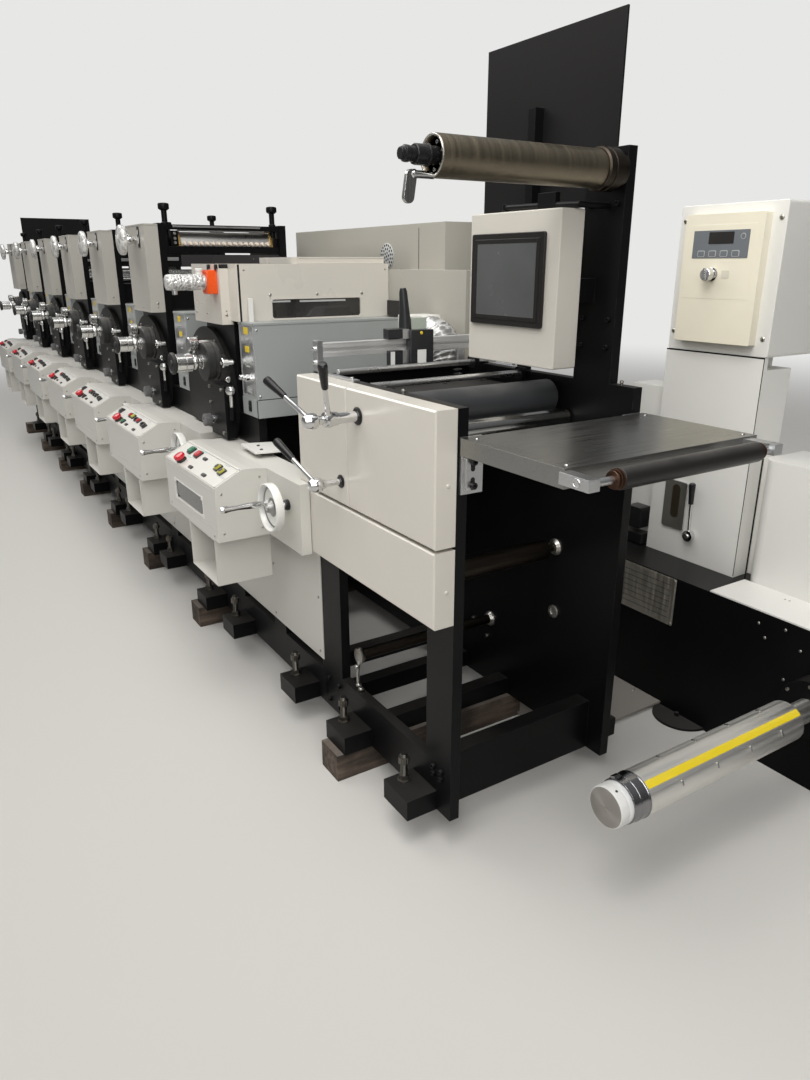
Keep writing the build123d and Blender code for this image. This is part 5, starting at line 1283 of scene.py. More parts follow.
def crumpled_film(name, colour, roughness, scale):
    """Crinkled wrapping film: sharp folds from a cell pattern, milky in the folds; each facet is
    painted lighter or darker as painted light and shade.
    """
    material, tree = blank_material(name)
    here = add_node(tree, "ShaderNodeTexCoord").outputs["Object"]
    cell = {"Vector": here, "Scale": scale}
    folds = add_node(tree, "ShaderNodeTexVoronoi", {"feature": "DISTANCE_TO_EDGE"}, cell)
    cells = add_node(tree, "ShaderNodeTexVoronoi", {}, cell)
    # Each cell's random value paints light and shade on its facet, from 0.45 of the colour up to the
    # full colour; the same value also sets the facet's gloss
    shine = add_node(tree, "ShaderNodeSeparateColor", {}, {0: cells.outputs["Color"]})
    wear = group_node(tree, marks, {"Edge Size": 0.001, "Tone Scale": 20.0, "Fine Scale": 200.0})
    dark = tuple(0.45 * c for c in colour)
    shade = blend_colour(tree, span(tree, shine.outputs[0], 0.0, 1.0, 0.0, 1.0), dark, colour)
    shade = blend_colour(
        tree, span(tree, folds.outputs[0], 0.7, 0.0, 0.0, 0.12), shade, (0.9, 0.9, 0.9)
    )
    gloss = span(tree, shine.outputs[1], roughness * 0.5, roughness * 1.6, 0.0, 1.0)
    bump = relief(tree, folds.outputs[0], 1.0, 0.006, wear.outputs["Normal"])
    surface(tree, shade, gloss, bump, {"Metallic": 0.35, "Coat Weight": 0.8, "Coat Roughness": 0.06})
    return material


clear_film = crumpled_film("crinkled_clear_film", (0.78, 0.78, 0.76), 0.30, 75.0)
motor = Shape()
bulges = [
    (0, 20), (4, 25), (14, 27.5), (30, 26.5), (52, 28), (80, 26.8), (104, 28), (126, 27), (136, 25),
    (140, 18), (140, 0),
]
motor.turned((-1405.0, -75.0, 1440.0), TO_OPERATOR, bulges, 30)
build(motor, "valve_motor_film", clear_film, stands_for=["valve_motor"])
build(
    Shape().turned(
        (-1405.0, -94.0, 1464.0), UP, [(0, 12), (12, 12), (13, 14), (19, 14), (21, 11), (21, 0)], 20
    ),
    "valve_motor_fitting", white_paint,
)
motor_leg = Shape()
motor_leg.turned((-1405.0, -185.0, 1400.0), UP, [(0, 9), (16, 9)], 16)
motor_leg.turned((-1405.0, -74.0, 1440.0), TO_OPERATOR, [(0, 24), (8, 24), (9, 22)], 24)
build(motor_leg, "valve_motor_leg", aluminium)

# Drying housings: grey sheet boxes; a bare steel plate on the operator end carries blank
# labels, chrome knobs and a black socket. The lower part is a separate folded cover.
dryer_plate, dryer_trim, dryer_knobs, dryer_sockets = Shape(), Shape(), Shape(), Shape()
dryer_yellow, dryer_blank, dryer_seams = Shape(), Shape(), Shape()
DRYER_ENDS = [(-1170.0, -1310.0)] + [(-1905.0 + dx, -2070.0 + dx) for dx in UNITS]
for near, far in DRYER_ENDS:
    middle = (near + far) / 2
    dryer_plate.slab(rounded(far + 16.0, near - 14.0, 1066.0, 1302.0, 2.0, 2), "y", -1.4, 0.4)
    dryer_trim.block(far, near, -2.4, 0.4, 1301.0, 1310.0)
    dryer_trim.block(near - 6.0, near + 1.6, -2.4, 573.0, 1303.5, 1311.6)
    dryer_trim.block(far, near + 1.0, -2.6, 0.4, 990.0, 1052.0)
    dryer_trim.block(near - 8.0, near + 1.2, -2.6, 573.0, 990.0, 1052.0)
    dryer_seams.block(near - 2.0, near + 0.5, 0.0, 572.0, 1052.0, 1055.0)
    for x0, x1, z0, z1 in ((-22.0, 14.0, 1271.0, 1294.0), (-18.0, 18.0, 1211.0, 1232.0)):
        dryer_yellow.slab(rounded(middle + x0, middle + x1, z0, z1, 2.0, 2), "y", -2.4, -1.2)
    dryer_blank.slab(rounded(middle - 15.0, middle + 13.0, 1253.0, 1258.0, 1.0, 2), "y", -2.2, -1.2)
    for z in (1180.0, 1192.0, 1160.0):
        dryer_blank.slab(rounded(middle - 17.0, middle + 17.0, z, z + 6.0, 1.0, 2), "y", -1.9, -1.2)
    dryer_blank.slab(rounded(middle - 20.0, middle + 20.0, 1072.0, 1092.0, 1.0, 2), "y", -1.9, -1.2)
    for shift in (-24.0, 4.0, 30.0):
        dryer_knobs.turned(
            (middle + shift, 0, 1124.0), TO_OPERATOR,
            [(0, 8), (3, 8), (4, 6), (12, 6), (14, 9), (26, 9), (28, 7), (28, 0)], 18,
        )
    dryer_knobs.tube([(middle - 24, -20, 1124), (middle + 30, -20, 1124)], 4.0, 10)
    for z in (1066.0, 1288.0):
        dome_screw(dryer_knobs, (near + 1.2, 8.0, z), TO_END, 4.0)
    dryer_sockets.slab(rounded(middle - 10.0, middle + 12.0, 1006.0, 1044.0, 4.0, 3), "y", -6.0, -2.0)
    for z in (1012.0, 1028.0):
        dryer_sockets.slab(rounded(middle - 6.0, middle + 8.0, z, z + 10.0, 2.0, 2), "y", -8.0, -6.0)
build(dryer_plate, "dryer_end_plates", aluminium)
build(dryer_trim, "dryer_folded_trim", dryer_paint, edge=0.8)
build(dryer_seams, "dryer_seams", rail_paint)
build(dryer_yellow, "dryer_yellow_labels", signal_yellow)
build(dryer_blank, "dryer_blank_plates", label_grey)
build(dryer_knobs, "dryer_knobs", chrome)
build(dryer_sockets, "dryer_sockets", black_plastic, edge=0.8)
build(
    Shape().block(-1270.0, -1258.0, 22.0, 39.0, 1309.0, 1388.0), "dryer_white_bar", white_paint,
    edge=1.5,
)
build(
    Shape().slab(rounded(196.0, 262.0, 1056.0, 1128.0, 3.0, 2), "x", -1169.9, -1168.6),
    "dryer_dark_port", black_plastic,
)

# Register drives: a black disc on its hub, then steel couplings, a split clamp and a bright
# sleeve with a black end plate. Behind the disc top a second, smaller steel gear is seen.
PLATE_ENDS = [-1354.0] + [-2180.0 + dx for dx in UNITS]
fine_turned = worked_steel(
    "fine_turned_steel", (0.66, 0.66, 0.65), 0.20, (9.0, 300.0, 9.0), 0.03, spread=0.1, stained=0.2
)
discs = Shape()
steel = Shape()
for near in PLATE_ENDS:
    place = (near - 76.0, 0.0, 1167.0)
    discs.turned(
        place, TO_OPERATOR,
        [
            (18, 20), (48, 20), (48, 60), (50, 64), (52, 68), (60, 68), (62, 66), (70, 66), (72, 68),
            (96, 68), (99, 66), (100, 62), (100, 26), (97, 24), (97, 0),
        ],
        56,
    )
    discs.turned(
        place, TO_OPERATOR,
        [
            (201, 30), (202, 36), (204, 38), (212, 38), (215, 36), (216, 32), (212, 28), (211, 12),
            (216, 10), (216, 0),
        ],
        40,
    )
    steel.turned(
        place, TO_OPERATOR,
        [
            (96, 26), (104, 26), (105, 23), (112, 23), (113, 16), (120, 16), (120, 25), (122, 26),
            (134, 26), (136, 25), (136, 19), (141, 19),
        ],
        36,
    )
    steel.turned(
        place, TO_OPERATOR,
        [
            (141, 19), (141, 30), (143, 32), (164, 32), (165, 30.5), (167, 30.5), (168, 32), (199, 32),
            (202, 30), (202, 0),
        ],
        44,
    )
    steel.block(place[0] - 5.0, place[0] + 5.0, -134.0, -122.0, 1190.0, 1200.0)
    cap_screw(steel, (place[0], -128.0, 1198.0), UP, 5.0, 6.0)
    steel.turned(
        (near - 120.0, -46.0, 1226.0), TO_OPERATOR,
        [
            (0, 12), (52, 12), (54, 22), (58, 26), (70, 26), (72, 22), (74, 26), (86, 26), (90, 22),
            (90, 10),
        ],
        32,
    )
build(
    discs, "register_disc_set",
    sprayed_paint("phosphated_steel", (0.020, 0.020, 0.020), 0.42, (0.08, 0.08, 0.08), shine=0.35),
    stands_for=["register_discs"], crease=28,
)

# Ball levers: a chromed ball and stem over a black turned grip, beside the end face of each
# black bracket. Cap screws hold the brackets and the round guards behind them.
BALL_FROM_END, BALL_Y, BALL_Z = 22.2, -38.0, 1070.0
for near in PLATE_ENDS:
    x, y = near + BALL_FROM_END, BALL_Y
    ball = [
        (-19, 6), (-16, 11), (-11, 15.5), (-5, 18.3), (0, 19), (6, 18), (11, 15.6), (12, 15.6),
        (15, 14), (15, 0),
    ]
    steel.turned((x, y, BALL_Z), UP, ball, 28)
    steel.turned((x, y, 1008.0), UP, [(0, 6), (2, 7), (44, 8), (48, 8.5)], 18)
    steel.turned((x - 3.0, y, BALL_Z), (-1, 0, 0), [(6, 14), (12, 15), (15.6, 15)], 20)
    steel.turned((near - 2.0, y, 1108.0), TO_END, [(0, 10), (10, 10), (11, 8), (11, 0)], 18)
    steel.turned(
        (near + 13.0, -50.0, 1168.0), TO_OPERATOR,
        [(-30, 12), (-12, 12), (-10, 17), (8, 18), (12, 16), (12, 7), (5, 6)], 24,
    )
build(steel, "register_steel", fine_turned, stands_for=["register_couplings"], crease=28)
brackets = Shape()
for near in PLATE_ENDS:
    x, y = near + BALL_FROM_END, BALL_Y
    grip = [(962, 4), (963, 8), (967, 10), (990, 10), (1006, 8.5), (1010, 8), (1012, 7)]
    brackets.turned((x, y, 0), UP, grip, 18)
    brackets.block(near - 156.0, near + 7.0, -58.0, -18.0, 892.0, 1085.0)
build(
    brackets, "impression_bracket_set", black_paint, edge=2.0,
    stands_for=["impression_brackets"],
)
bracket_bolts = Shape()
for near in PLATE_ENDS:
    for x, z in ((-142.0, 1068.0), (-142.0, 1010.0), (-20.0, 1070.0), (-20.0, 912.0)):
        cap_screw(bracket_bolts, (near + x, -58.0, z), TO_OPERATOR, 6.5, 6.0)
    for turn in (20.0, 65.0, 115.0, 160.0):
        x, z = around(236.0, turn)
        cap_screw(bracket_bolts, (near - 265.0 + x, -18.0, 1014.0 + z), TO_OPERATOR, 6.0, 5.0)
build(bracket_bolts, "guard_bolts", zinc)

# Adjusting knobs: grey plastic with ribs moulded round the rim, on a short turned steel neck,
# one low on each bracket
knurled = Shape()
knob_steel = Shape()
for near in PLATE_ENDS:
    place = (near - 126.0, -58.0, 947.0)
    knob_steel.turned(place, TO_OPERATOR, [(-1, 15), (3, 15), (4, 12), (11, 12)], 20)
    for i in range(24):
        x, z = around(21.2, 15 * i)
        rib = [(0, 1.6), (2, 2.4), (24, 2.4), (26, 1.8)]
        knurled.turned((place[0] + x, -70.0, place[2] + z), TO_OPERATOR, rib, 6)
    knurled.turned(
        place, TO_OPERATOR,
        [(10, 14), (11, 20), (13, 21.6), (36, 21.6), (39.5, 18), (40, 9), (37, 8), (37, 0)], 36,
    )
knob_grey = moulded("knurled_knob_grey", (0.15, 0.15, 0.155), 0.36, 0.2)
build(knurled, "adjusting_knob_grips", knob_grey, stands_for=["adjusting_knobs"])
build(knob_steel, "adjusting_knob_necks", fine_turned)

# Feed plate of the varnishing unit: a white tongue held above the first console, screwed to a
# black block that stands on the side plate's shelf
feed_plate = Shape()
feed_plate.slab([(-1192, -66), (-1034, -76), (-1018, 22), (-1160, 36)], "z", 899.0, 907.0)
build(feed_plate, "feed_tongue", white_paint, edge=1.2, stands_for=["feed_plate"])
feed_blocks = Shape()
feed_blocks.block(-1165.0, -1050.0, 0.0, 30.0, 880.0, 899.5)
feed_blocks.block(-1150.0, -1070.0, -40.0, 1.0, 886.0, 899.5)
for x, y in ((-1122.0, -30.0), (-1060.0, -44.0)):
    dome_screw(feed_blocks, (x, y, 907.0), UP, 6.0)
build(feed_blocks, "feed_tongue_blocks", black_plastic, edge=1.0)

# Towers: folded grey covers with a satin sheen. Each has a slotted black plate by its upper
# corner, dome screws low on the near face and a thin fold round the operator's face.
TOWER_FRONT = -62.0
tower_folds = Shape()
slot_plates = Shape()
slot_marks = Shape()
tower_screws = Shape()
for near in PLATE_ENDS[1:]:
    for z0, z1 in ((1654.0, 1660.4), (1300.0, 1306.0)):
        tower_folds.block(near - 290.0, near, TOWER_FRONT - 1.4, TOWER_FRONT + 1.0, z0, z1)
        tower_folds.block(near - 2.0, near + 1.4, TOWER_FRONT, -2.0, z0, z1)
    slot_plates.slab(
        rounded(near - 92.0, near - 66.0, 1566.0, 1650.0, 5.0, 3), "y", TOWER_FRONT - 3.5,
        TOWER_FRONT + 0.5,
    )
    for z in (1582.0, 1618.0):
        slot_marks.slab(
            rounded(near - 87.0, near - 71.0, z, z + 20.0, 7.0, 4), "y", TOWER_FRONT - 4.4,
            TOWER_FRONT - 3.0,
        )
    dome_screw(slot_plates, (near - 79.0, TOWER_FRONT - 3.5, 1574.0), TO_OPERATOR, 4.0)
    for z in (1338.0, 1322.0):
        dome_screw(tower_screws, (near, -31.0, z), TO_END, 5.5 if z > 1330 else 3.5)
    for x, z in ((-270.0, 1320.0), (-270.0, 1640.0), (-120.0, 1320.0)):
        dome_screw(tower_screws, (near + x, TOWER_FRONT, z), TO_OPERATOR, 4.0)
build(tower_folds, "tower_folds", tower_paint, edge=0.6)
build(slot_plates, "tower_slot_plates", black_plastic, edge=0.8)
build(slot_marks, "tower_slot_marks", label_grey)
build(tower_screws, "tower_screws", zinc)

# Tower handwheels: solid discs still in white wrapping film, on a bright shaft with a split
# clamp ring close to the cover
white_film = crumpled_film("white_wheel_film", (0.84, 0.84, 0.80), 0.36, 42.0)


def tower_wheel(disc, bright, near):
    x, z = near - 140.0, 1597.0
    lumps = [
        (0, 12), (0, 40), (3, 56), (7, 61), (14, 62), (22, 61.5), (27, 57), (30, 46), (31, 24),
        (34, 18), (36, 8), (36, 0),
    ]
    disc.turned((x, -105.0, z), TO_OPERATOR, lumps, 44)
    bright.turned(
        (x, -107.0, z), TO_DRIVE,
        [(-1, 10), (6, 10), (8, 17), (12, 18), (24, 18), (26, 15), (42, 15), (42, 10), (105, 10)], 26,
    )
    bright.block(x - 5.0, x + 5.0, -97.0, -85.0, z + 15.0, z + 25.0)
    cap_screw(bright, (x + 5.0, -91.0, z + 20.0), TO_END, 4.5, 5.0)


for node, body, places in wheel_sets("tower", PLATE_ENDS[1:]):
    disc, bright = Shape(), Shape()
    for near in places:
        tower_wheel(disc, bright, near)
    build(disc, node + "_disc", white_film, body, stands_for=[node], crease=50)
    build(bright, node + "_shaft", chrome, body)

# Lifting rods: black round bars with broad hand knobs, two to each printing unit; they run
# down through the upper beam
lifting = Shape()
for near in PLATE_ENDS[1:]:
    for y in (46.0, 541.0):
        lifting.turned((near - 45.0, y, 0), UP, [(1572, 12), (1720, 12)], 20)
        lifting.turned(
            (near - 45.0, y, 0), UP,
            [
                (1716, 15), (1720, 20), (1722, 23.5), (1726, 24), (1740, 24), (1744, 22), (1746, 12),
                (1746, 0),
            ],
            12,
        )
        lifting.turned((near - 45.0, y, 0), UP, [(1660, 16), (1668, 16), (1670, 13)], 20)
build(lifting, "lifting_rod_set", black_paint, stands_for=["lifting_rods"])

# Ink fountains: polished blade on a slope between brass ends, with a row of cone shaped ink
# keys along its lower edge, end blocks with bolts and light rails above and below
fountain_steel = worked_steel(
    "fountain_blade_steel", (0.62, 0.61, 0.58), 0.30, (40.0, 3.0, 40.0), 0.02, spread=0.08, stained=0.3
)
blades, brass_plates, ink_keys, key_collars = Shape(), Shape(), Shape(), Shape()
end_blocks, rails, panel_screws = Shape(), Shape(), Shape()
for near in PLATE_ENDS[1:]:
    front, back = near - 28.0, near - 110.0
    outline = [
        (back, 1572), (front, 1572), (front, 1579), (front - 7, 1592), (front - 22, 1628),
        (front - 26, 1632), (back, 1632),
    ]
    blades.slab(outline, "y", 105.0, 520.0)
    for y in (93.0, 520.0):
        brass_plates.slab(
            [(back, 1572), (front + 3, 1572), (front + 3, 1580), (front - 20, 1634), (back, 1634)], "y",
            y, y + 12.0,
        )
    for i in range(16):
        y = 119.0 + 25.8 * i
        key_collars.turned((front - 6.0, y, 1584.0), TO_END, [(0, 9.5), (5, 9.5), (6, 8.5)], 12)
        ink_keys.turned(
            (front - 1.0, y, 1584.0), (1, 0, -0.25),
            [(0, 10.5), (4, 10.5), (7, 9), (20, 3.5), (21.5, 0)], 12,
        )
    end_blocks.block(near - 80.0, near - 22.0, 60.0, 92.0, 1573.0, 1636.0)
    end_blocks.block(near - 80.0, near - 22.0, 533.0, 552.0, 1573.0, 1610.0)
    for z in (1586.0, 1604.0, 1624.0):
        cap_screw(panel_screws, (near - 22.0, 76.0, z), TO_END, 6.0, 6.0)
    rails.block(near - 20.6, near - 17.6, 70.0, 470.0, 1649.0, 1656.0)
    rails.block(near - 48.0, near - 44.0, 96.0, 500.0, 1634.0, 1640.0)
    rails.block(near - 19.8, near - 17.4, 18.0, 84.0, 1513.0, 1527.0)
    for y, z in ((250.0, 1500.0), (430.0, 1520.0), (480.0, 1500.0), (140.0, 1496.0)):
        dome_screw(panel_screws, (near - 20.0, y, z), TO_END, 4.0)
build(
    blades, "fountain_blades", fountain_steel, stands_for=["ink_fountain_troughs"],
    edge=1.0,
)
build(
    brass_plates, "fountain_end_plates", brass, stands_for=["fountain_brass_ends"],
    edge=1.0,
)
key_cream = moulded("ink_key_cream", (0.72, 0.62, 0.52), 0.32, 0.3)
build(ink_keys, "ink_keys", key_cream, crease=40)
build(key_collars, "ink_key_collars", chrome)
build(end_blocks, "fountain_end_blocks", black_paint, edge=1.5)
build(rails, "fountain_light_rails", aluminium, edge=0.6)
build(panel_screws, "fountain_screws", zinc)

# Frame beams: the lower beam of every printing unit is faced with dark painted sheet that has
# a soft sheen
beam_sheets = Shape()
for near in PLATE_ENDS[1:]:
    beam_sheets.block(near - 20.0, near - 17.8, 96.0, 560.0, 1489.0, 1537.0)
dark_sheet = sprayed_paint(
    "dark_sheet_grey", (0.035, 0.033, 0.034), 0.28, (0.08, 0.08, 0.08), shine=0.45
)
build(beam_sheets, "beam_panel_sheets", dark_sheet, edge=0.5)

# Drive side: cabinets and gear covers in folded sheet. The tall cabinet has a round drilled
# vent, door seams, hinges and turn locks; each gear cover has a pull handle and screws.
COVER_FACE, CABINET_FACE = 690.0, 940.0
VENT_X, VENT_Z = -1445.0, 1526.0
vent = Shape()
vent_holes = Shape()
vent.turned((VENT_X, COVER_FACE, VENT_Z), TO_OPERATOR, [(0, 50), (1.6, 50), (2.4, 48.5)], 44)
for ring, count in ((0, 1), (14.5, 6), (29.0, 12), (43.0, 18)):
    for i in range(count):
        x, z = around(ring, 360 * (i + 0.5 * (ring % 2)) / count)
        vent_holes.turned(
            (VENT_X + x, COVER_FACE - 2.3, VENT_Z + z), TO_OPERATOR, [(0, 4.6), (0.35, 4.6)], 10
        )
build(vent, "cabinet_vent", label_grey)
build(vent_holes, "cabinet_vent_holes", black_plastic)
seams = Shape()
seams.block(-1216.2, -1213.8, COVER_FACE - 0.8, COVER_FACE + 0.4, 60.0, 1625.0)
for x in (-1215.0, -1650.0, -1960.0):
    seams.block(x - 1.2, x + 1.2, CABINET_FACE - 0.4, CABINET_FACE + 0.8, 60.0, 1600.0)
for z in (1598.0, 58.0):
    seams.block(-2270.0, -1065.0, CABINET_FACE - 0.4, CABINET_FACE + 0.8, z, z + 2.4)
seams.block(-1030.0, -1027.6, COVER_FACE - 0.6, COVER_FACE + 0.8, 1190.0, 1470.0)
for near in SKIRT_ENDS:
    seams.block(near - 412.0, near - 410.0, COVER_FACE - 0.4, COVER_FACE + 0.8, 275.0, 1165.0)
build(seams, "drive_side_seams", rail_paint)
handles = Shape()
locks = Shape()
louvres = Shape()
for near in SKIRT_ENDS:
    for x in (near - 206.0, near - 610.0):
        bow = ((-55, 0), (-55, 24), (-40, 32), (40, 32), (55, 24), (55, 0))
        handles.tube([(x + along, COVER_FACE + out, 1040) for along, out in bow], 6.0, 12)
        for z in (290.0, 1150.0):
            for side in (-180.0, 180.0):
                dome_screw(locks, (x + side, COVER_FACE, z), TO_DRIVE, 5.0)
for x in (-2125.0, -1805.0, -1430.0):
    locks.turned(
        (x + 130.0, CABINET_FACE, 900.0), TO_DRIVE, [(0, 13), (4, 13), (6, 11), (6, 4), (12, 4)], 22
    )
    for i in range(8):
        for z in (260.0 + 26.0 * i, 1350.0 + 26.0 * i):
            louvres.block(x - 90.0, x + 90.0, CABINET_FACE - 0.5, CABINET_FACE + 5.0, z, z + 10.0)
for x in (-800.0, -1260.0):
    dome_screw(locks, (x, 640.0, 1479.0), UP, 5.0)
build(handles, "gear_cover_handles", black_plastic)
build(locks, "drive_side_locks", zinc)
build(louvres, "cabinet_louvres", shaded_cabinet_paint, edge=1.5)

# Exhaust duct: a folded outlet box on the far cabinet's face and a crinkled aluminium hose in
# close rings, held in a white flange and bent down behind the inspection rail
hose = Shape()
bend = Vector((-878.0, 520.0, 1172.0))
route = [Vector((x, bend.y, 1278.0)) for x in (-903.0, -896.0, -889.0)]
for i in range(26):
    up, ahead = around(1.0, 3.6 * i)
    route.append(bend + Vector((108.0 * ahead, 0.0, 106.0 * up)))
route += [Vector((-770.0, bend.y, bend.z - 7.0 * i)) for i in range(1, 23)]
radii = [51.5 + 3.2 * math.cos(math.pi * i) for i in range(len(route))]
hose.tube(route, radii, 40)
crinkled = crumpled_film("crinkled_aluminium_hose", (0.36, 0.36, 0.35), 0.46, 26.0)
build(hose, "exhaust_hose", crinkled, stands_for=["exhaust_duct"], crease=60)
outlet = Shape()
outlet.block(-1000.0, -904.0, 464.0, 576.0, 1222.0, 1333.0)
outlet.block(-990.0, -915.0, 560.0, 596.0, 1246.0, 1316.0)
outlet.turned((-906.0, bend.y, 1278.0), TO_END, [(0, 54), (3, 55.5), (9, 55.5), (10, 54)], 44)
build(outlet, "exhaust_outlet", white_paint, edge=1.5)
build(
    Shape().slab(rounded(-1275.0, -1180.0, 1314.0, 1369.0, 3.0, 3), "y", 586.0, 597.0),
    "cabinet_cable_port", black_plastic,
)

# Unwind stand: black base with a blank bright rating plate, bolts round the shaft hub and a
# white ledge. The covers are white folded sheet with fine gaps between them.
SHAFT = Vector((354.0, 221.0, 288.0))
BASE_FRONT = 1063.0
unwind_screws = Shape()
for x, z in (
    (129.0, 457.0), (156.0, 418.0), (217.0, 468.0), (272.0, 422.0), (236.0, 311.0), (252.0, 289.0)
):
    dome_screw(unwind_screws, (x, BASE_FRONT, z), TO_OPERATOR, 5.0)
for i in range(6):
    x, z = around(74.0, 60 * i + 30)
    cap_screw(unwind_screws, (SHAFT.x + x, 1000.0, SHAFT.z + z), TO_OPERATOR, 5.5, 5.0)
for z in (483.0, 327.0):
    for x in (-424.0, -192.0):
        dome_screw(unwind_screws, (x, BASE_FRONT - 2.5, z), TO_OPERATOR, 5.0)
for x, y in ((-390.0, 610.0), (-220.0, 610.0), (-300.0, 1040.0)):
    dome_screw(unwind_screws, (x, y, 20.0), UP, 6.0)
for x in (120.0, 135.0, 330.0):
    dome_screw(unwind_screws, (x, 1200.0, 500.0), UP, 3.5)
build(unwind_screws, "unwind_screws", zinc)
plate = Shape()
plate.slab(rounded(-431.0, -185.0, 320.0, 490.0, 3.0, 3), "y", BASE_FRONT - 2.6, BASE_FRONT + 0.4)
plate_steel = worked_steel(
    "rating_plate_steel", (0.86, 0.82, 0.73), 0.46, (160.0, 8.0, 8.0), 0.04, spread=0.12
)
build(plate, "blank_rating_plate", plate_steel)
plate_rules = Shape()
for i in range(7):
    z = 344.0 + 20.0 * i
    plate_rules.block(-410.0, -206.0, BASE_FRONT - 3.1, BASE_FRONT - 2.4, z, z + 1.2)
build(plate_rules, "rating_plate_rules", rail_paint)
cover_trim = Shape()
cover_trim.block(-468.6, -91.4, 1229.2, 1231.0, 1219.5, 1223.4)
cover_trim.block(-93.6, -91.6, 1229.4, 1230.8, 500.0, 1219.0)
cover_trim.block(-56.0, -54.2, 1239.0, 1246.0, 500.0, 912.0)
build(cover_trim, "unwind_cover_gaps", rail_paint)
build(
    Shape().slab(rounded(-406.0, -312.0, 600.0, 775.0, 8.0, 4), "y", 1223.0, 1230.5),
    "brake_guide_block", fine_turned, edge=1.2,
)
build(
    Shape().slab(rounded(-372.0, -338.0, 640.0, 762.0, 16.0, 6), "y", 1222.4, 1223.4),
    "brake_guide_slot", brown_steel,
)
foot = Shape()
foot_rim = []
for i in range(25):
    x, y = around(100.0, -8 + 8.2 * i)
    foot_rim.append((-107.0 + x, 1076.0 - y))
foot.slab(foot_rim, "z", 0.0, 9.0)
foot.hexagon((-111.0, 1050.0, 9.0), UP, 15.0, 13.0)
build(foot, "unwind_floor_foot", rail_paint, edge=1.5)
junction = Shape()
junction.slab(rounded(-560.0, -490.0, 560.0, 640.0, 6.0, 3), "y", 1205.0, 1262.0)
junction.block(-600.0, -480.0, 1210.0, 1262.0, 500.0, 540.0)
build(junction, "unwind_junction_box", black_plastic, edge=1.5)

# Brake lever: chromed stem with a tapered black hand grip above a steel boss. It leans a
# little forward, so that it clears the guide plate on its way.
brake_stem = Shape()
brake_lean = (0.0, -0.0664, 0.9978)
BRAKE = Vector((-280.0, 1229.0, 592.0))
brake_foot = BRAKE - Vector((0, 10.0, 0))
brake_stem.turned(
    BRAKE - Vector((0, 20.0, 0)), TO_DRIVE, [(0, 15), (1.5, 20), (18, 20), (19.5, 18)], 32
)
brake_stem.turned(brake_foot, brake_lean, [(0, 5), (14, 8), (26, 5), (120, 5), (124, 7), (127, 7)], 18)
build(
    brake_stem, "brake_lever_stem", chrome, "brake_lever_body", stands_for=["brake_lever"]
)
build(
    Shape().turned(
        brake_foot, brake_lean,
        [(118, 7), (119, 8.4), (150, 9.6), (186, 12), (191, 11), (194, 7), (194, 0)], 24,
    ),
    "brake_lever_grip", black_plastic, "brake_lever_body",
)

# Tension controller: deep white box, a thick cream door plate, a grey key field with a dark
# display, blank keys and a chrome knob. Four dome screws hold the box front.
CASE_FRONT, DOOR_FRONT = 1230.0, 1198.0
tension_case = Shape()
tension_case.slab(rounded(-465.0, -85.0, 1223.0, 1675.0, 10.0, 5), "y", CASE_FRONT, CASE_FRONT + 250.0)
build(
    tension_case, "tension_case", white_paint, edge=3.0,
    stands_for=["tension_control_box"],
)
cream_door = Shape()
cream_door.slab(rounded(-418.0, -133.0, 1257.0, 1645.0, 4.0, 3), "y", DOOR_FRONT, CASE_FRONT + 0.5)
cream_door.slab(
    rounded(-405.0, -158.0, 1392.0, 1613.0, 2.0, 2), "y", DOOR_FRONT - 0.4, DOOR_FRONT + 0.6
)
cream_paint = moulded("cream_door_plastic", (0.86, 0.81, 0.66), 0.36, 0.2)
build(
    cream_door, "tension_door", cream_paint, edge=1.5,
    stands_for=["tension_control_panel"],
)
field_grey = moulded("key_field_grey", (0.16, 0.175, 0.19), 0.4)
build(
    Shape().slab(
        rounded(-381.0, -178.0, 1514.0, 1596.0, 2.0, 2), "y", DOOR_FRONT - 1.4, DOOR_FRONT - 0.2
    ),
    "tension_key_field", field_grey,
)
display = Shape()
display.slab(rounded(-323.0, -232.0, 1556.0, 1591.0, 1.5, 2), "y", DOOR_FRONT - 2.1, DOOR_FRONT - 1.0)
build(display, "tension_display", dark_glass("display_glass", (0.02, 0.018, 0.016), 0.2))
blank_keys = Shape()
blank_rings = Shape()
for x in (-360.0, -318.0, -276.0, -234.0):
    blank_rings.slab(
        rounded(x, x + 27.0, 1518.0, 1537.0, 4.0, 3), "y", DOOR_FRONT - 2.1, DOOR_FRONT - 1.0
    )
    blank_keys.slab(
        rounded(x + 2.0, x + 25.0, 1520.0, 1535.0, 3.0, 3), "y", DOOR_FRONT - 2.5, DOOR_FRONT - 1.8
    )
blank_rings.turned((-200.0, DOOR_FRONT - 1.0, 1577.0), TO_OPERATOR, [(0, 9), (0.9, 9)], 24)
blank_keys.turned((-200.0, DOOR_FRONT - 1.0, 1577.0), TO_OPERATOR, [(0, 7), (1.4, 7)], 24)
build(blank_rings, "tension_key_rings", label_grey)
build(blank_keys, "tension_blank_keys", field_grey)
build(
    Shape().slab(
        rounded(-262.0, -235.0, 1455.0, 1478.0, 2.0, 2), "y", DOOR_FRONT - 1.4, DOOR_FRONT - 0.4
    ),
    "tension_pale_field", moulded("pale_cream_sheet", (0.70, 0.67, 0.56), 0.4),
)
chrome_knob = Shape()
chrome_knob.turned(
    (-297.0, DOOR_FRONT - 0.7, 1466.0), TO_OPERATOR,
    [(0, 21), (3, 21), (5, 15), (14, 15), (15, 18), (17, 20), (34, 19), (36, 17), (36, 0)], 28,
)
chrome_knob.block(-300.0, -294.0, DOOR_FRONT - 42.0, DOOR_FRONT - 34.0, 1449.0, 1485.0)
build(chrome_knob, "tension_knob", chrome)
case_screws = Shape()
for x, z in ((-103.0, 1627.0), (-446.0, 1629.0), (-109.0, 1279.0), (-448.0, 1284.0)):
    dome_screw(case_screws, (x, CASE_FRONT, z), TO_OPERATOR, 8.0)
build(case_screws, "tension_case_screws", zinc)

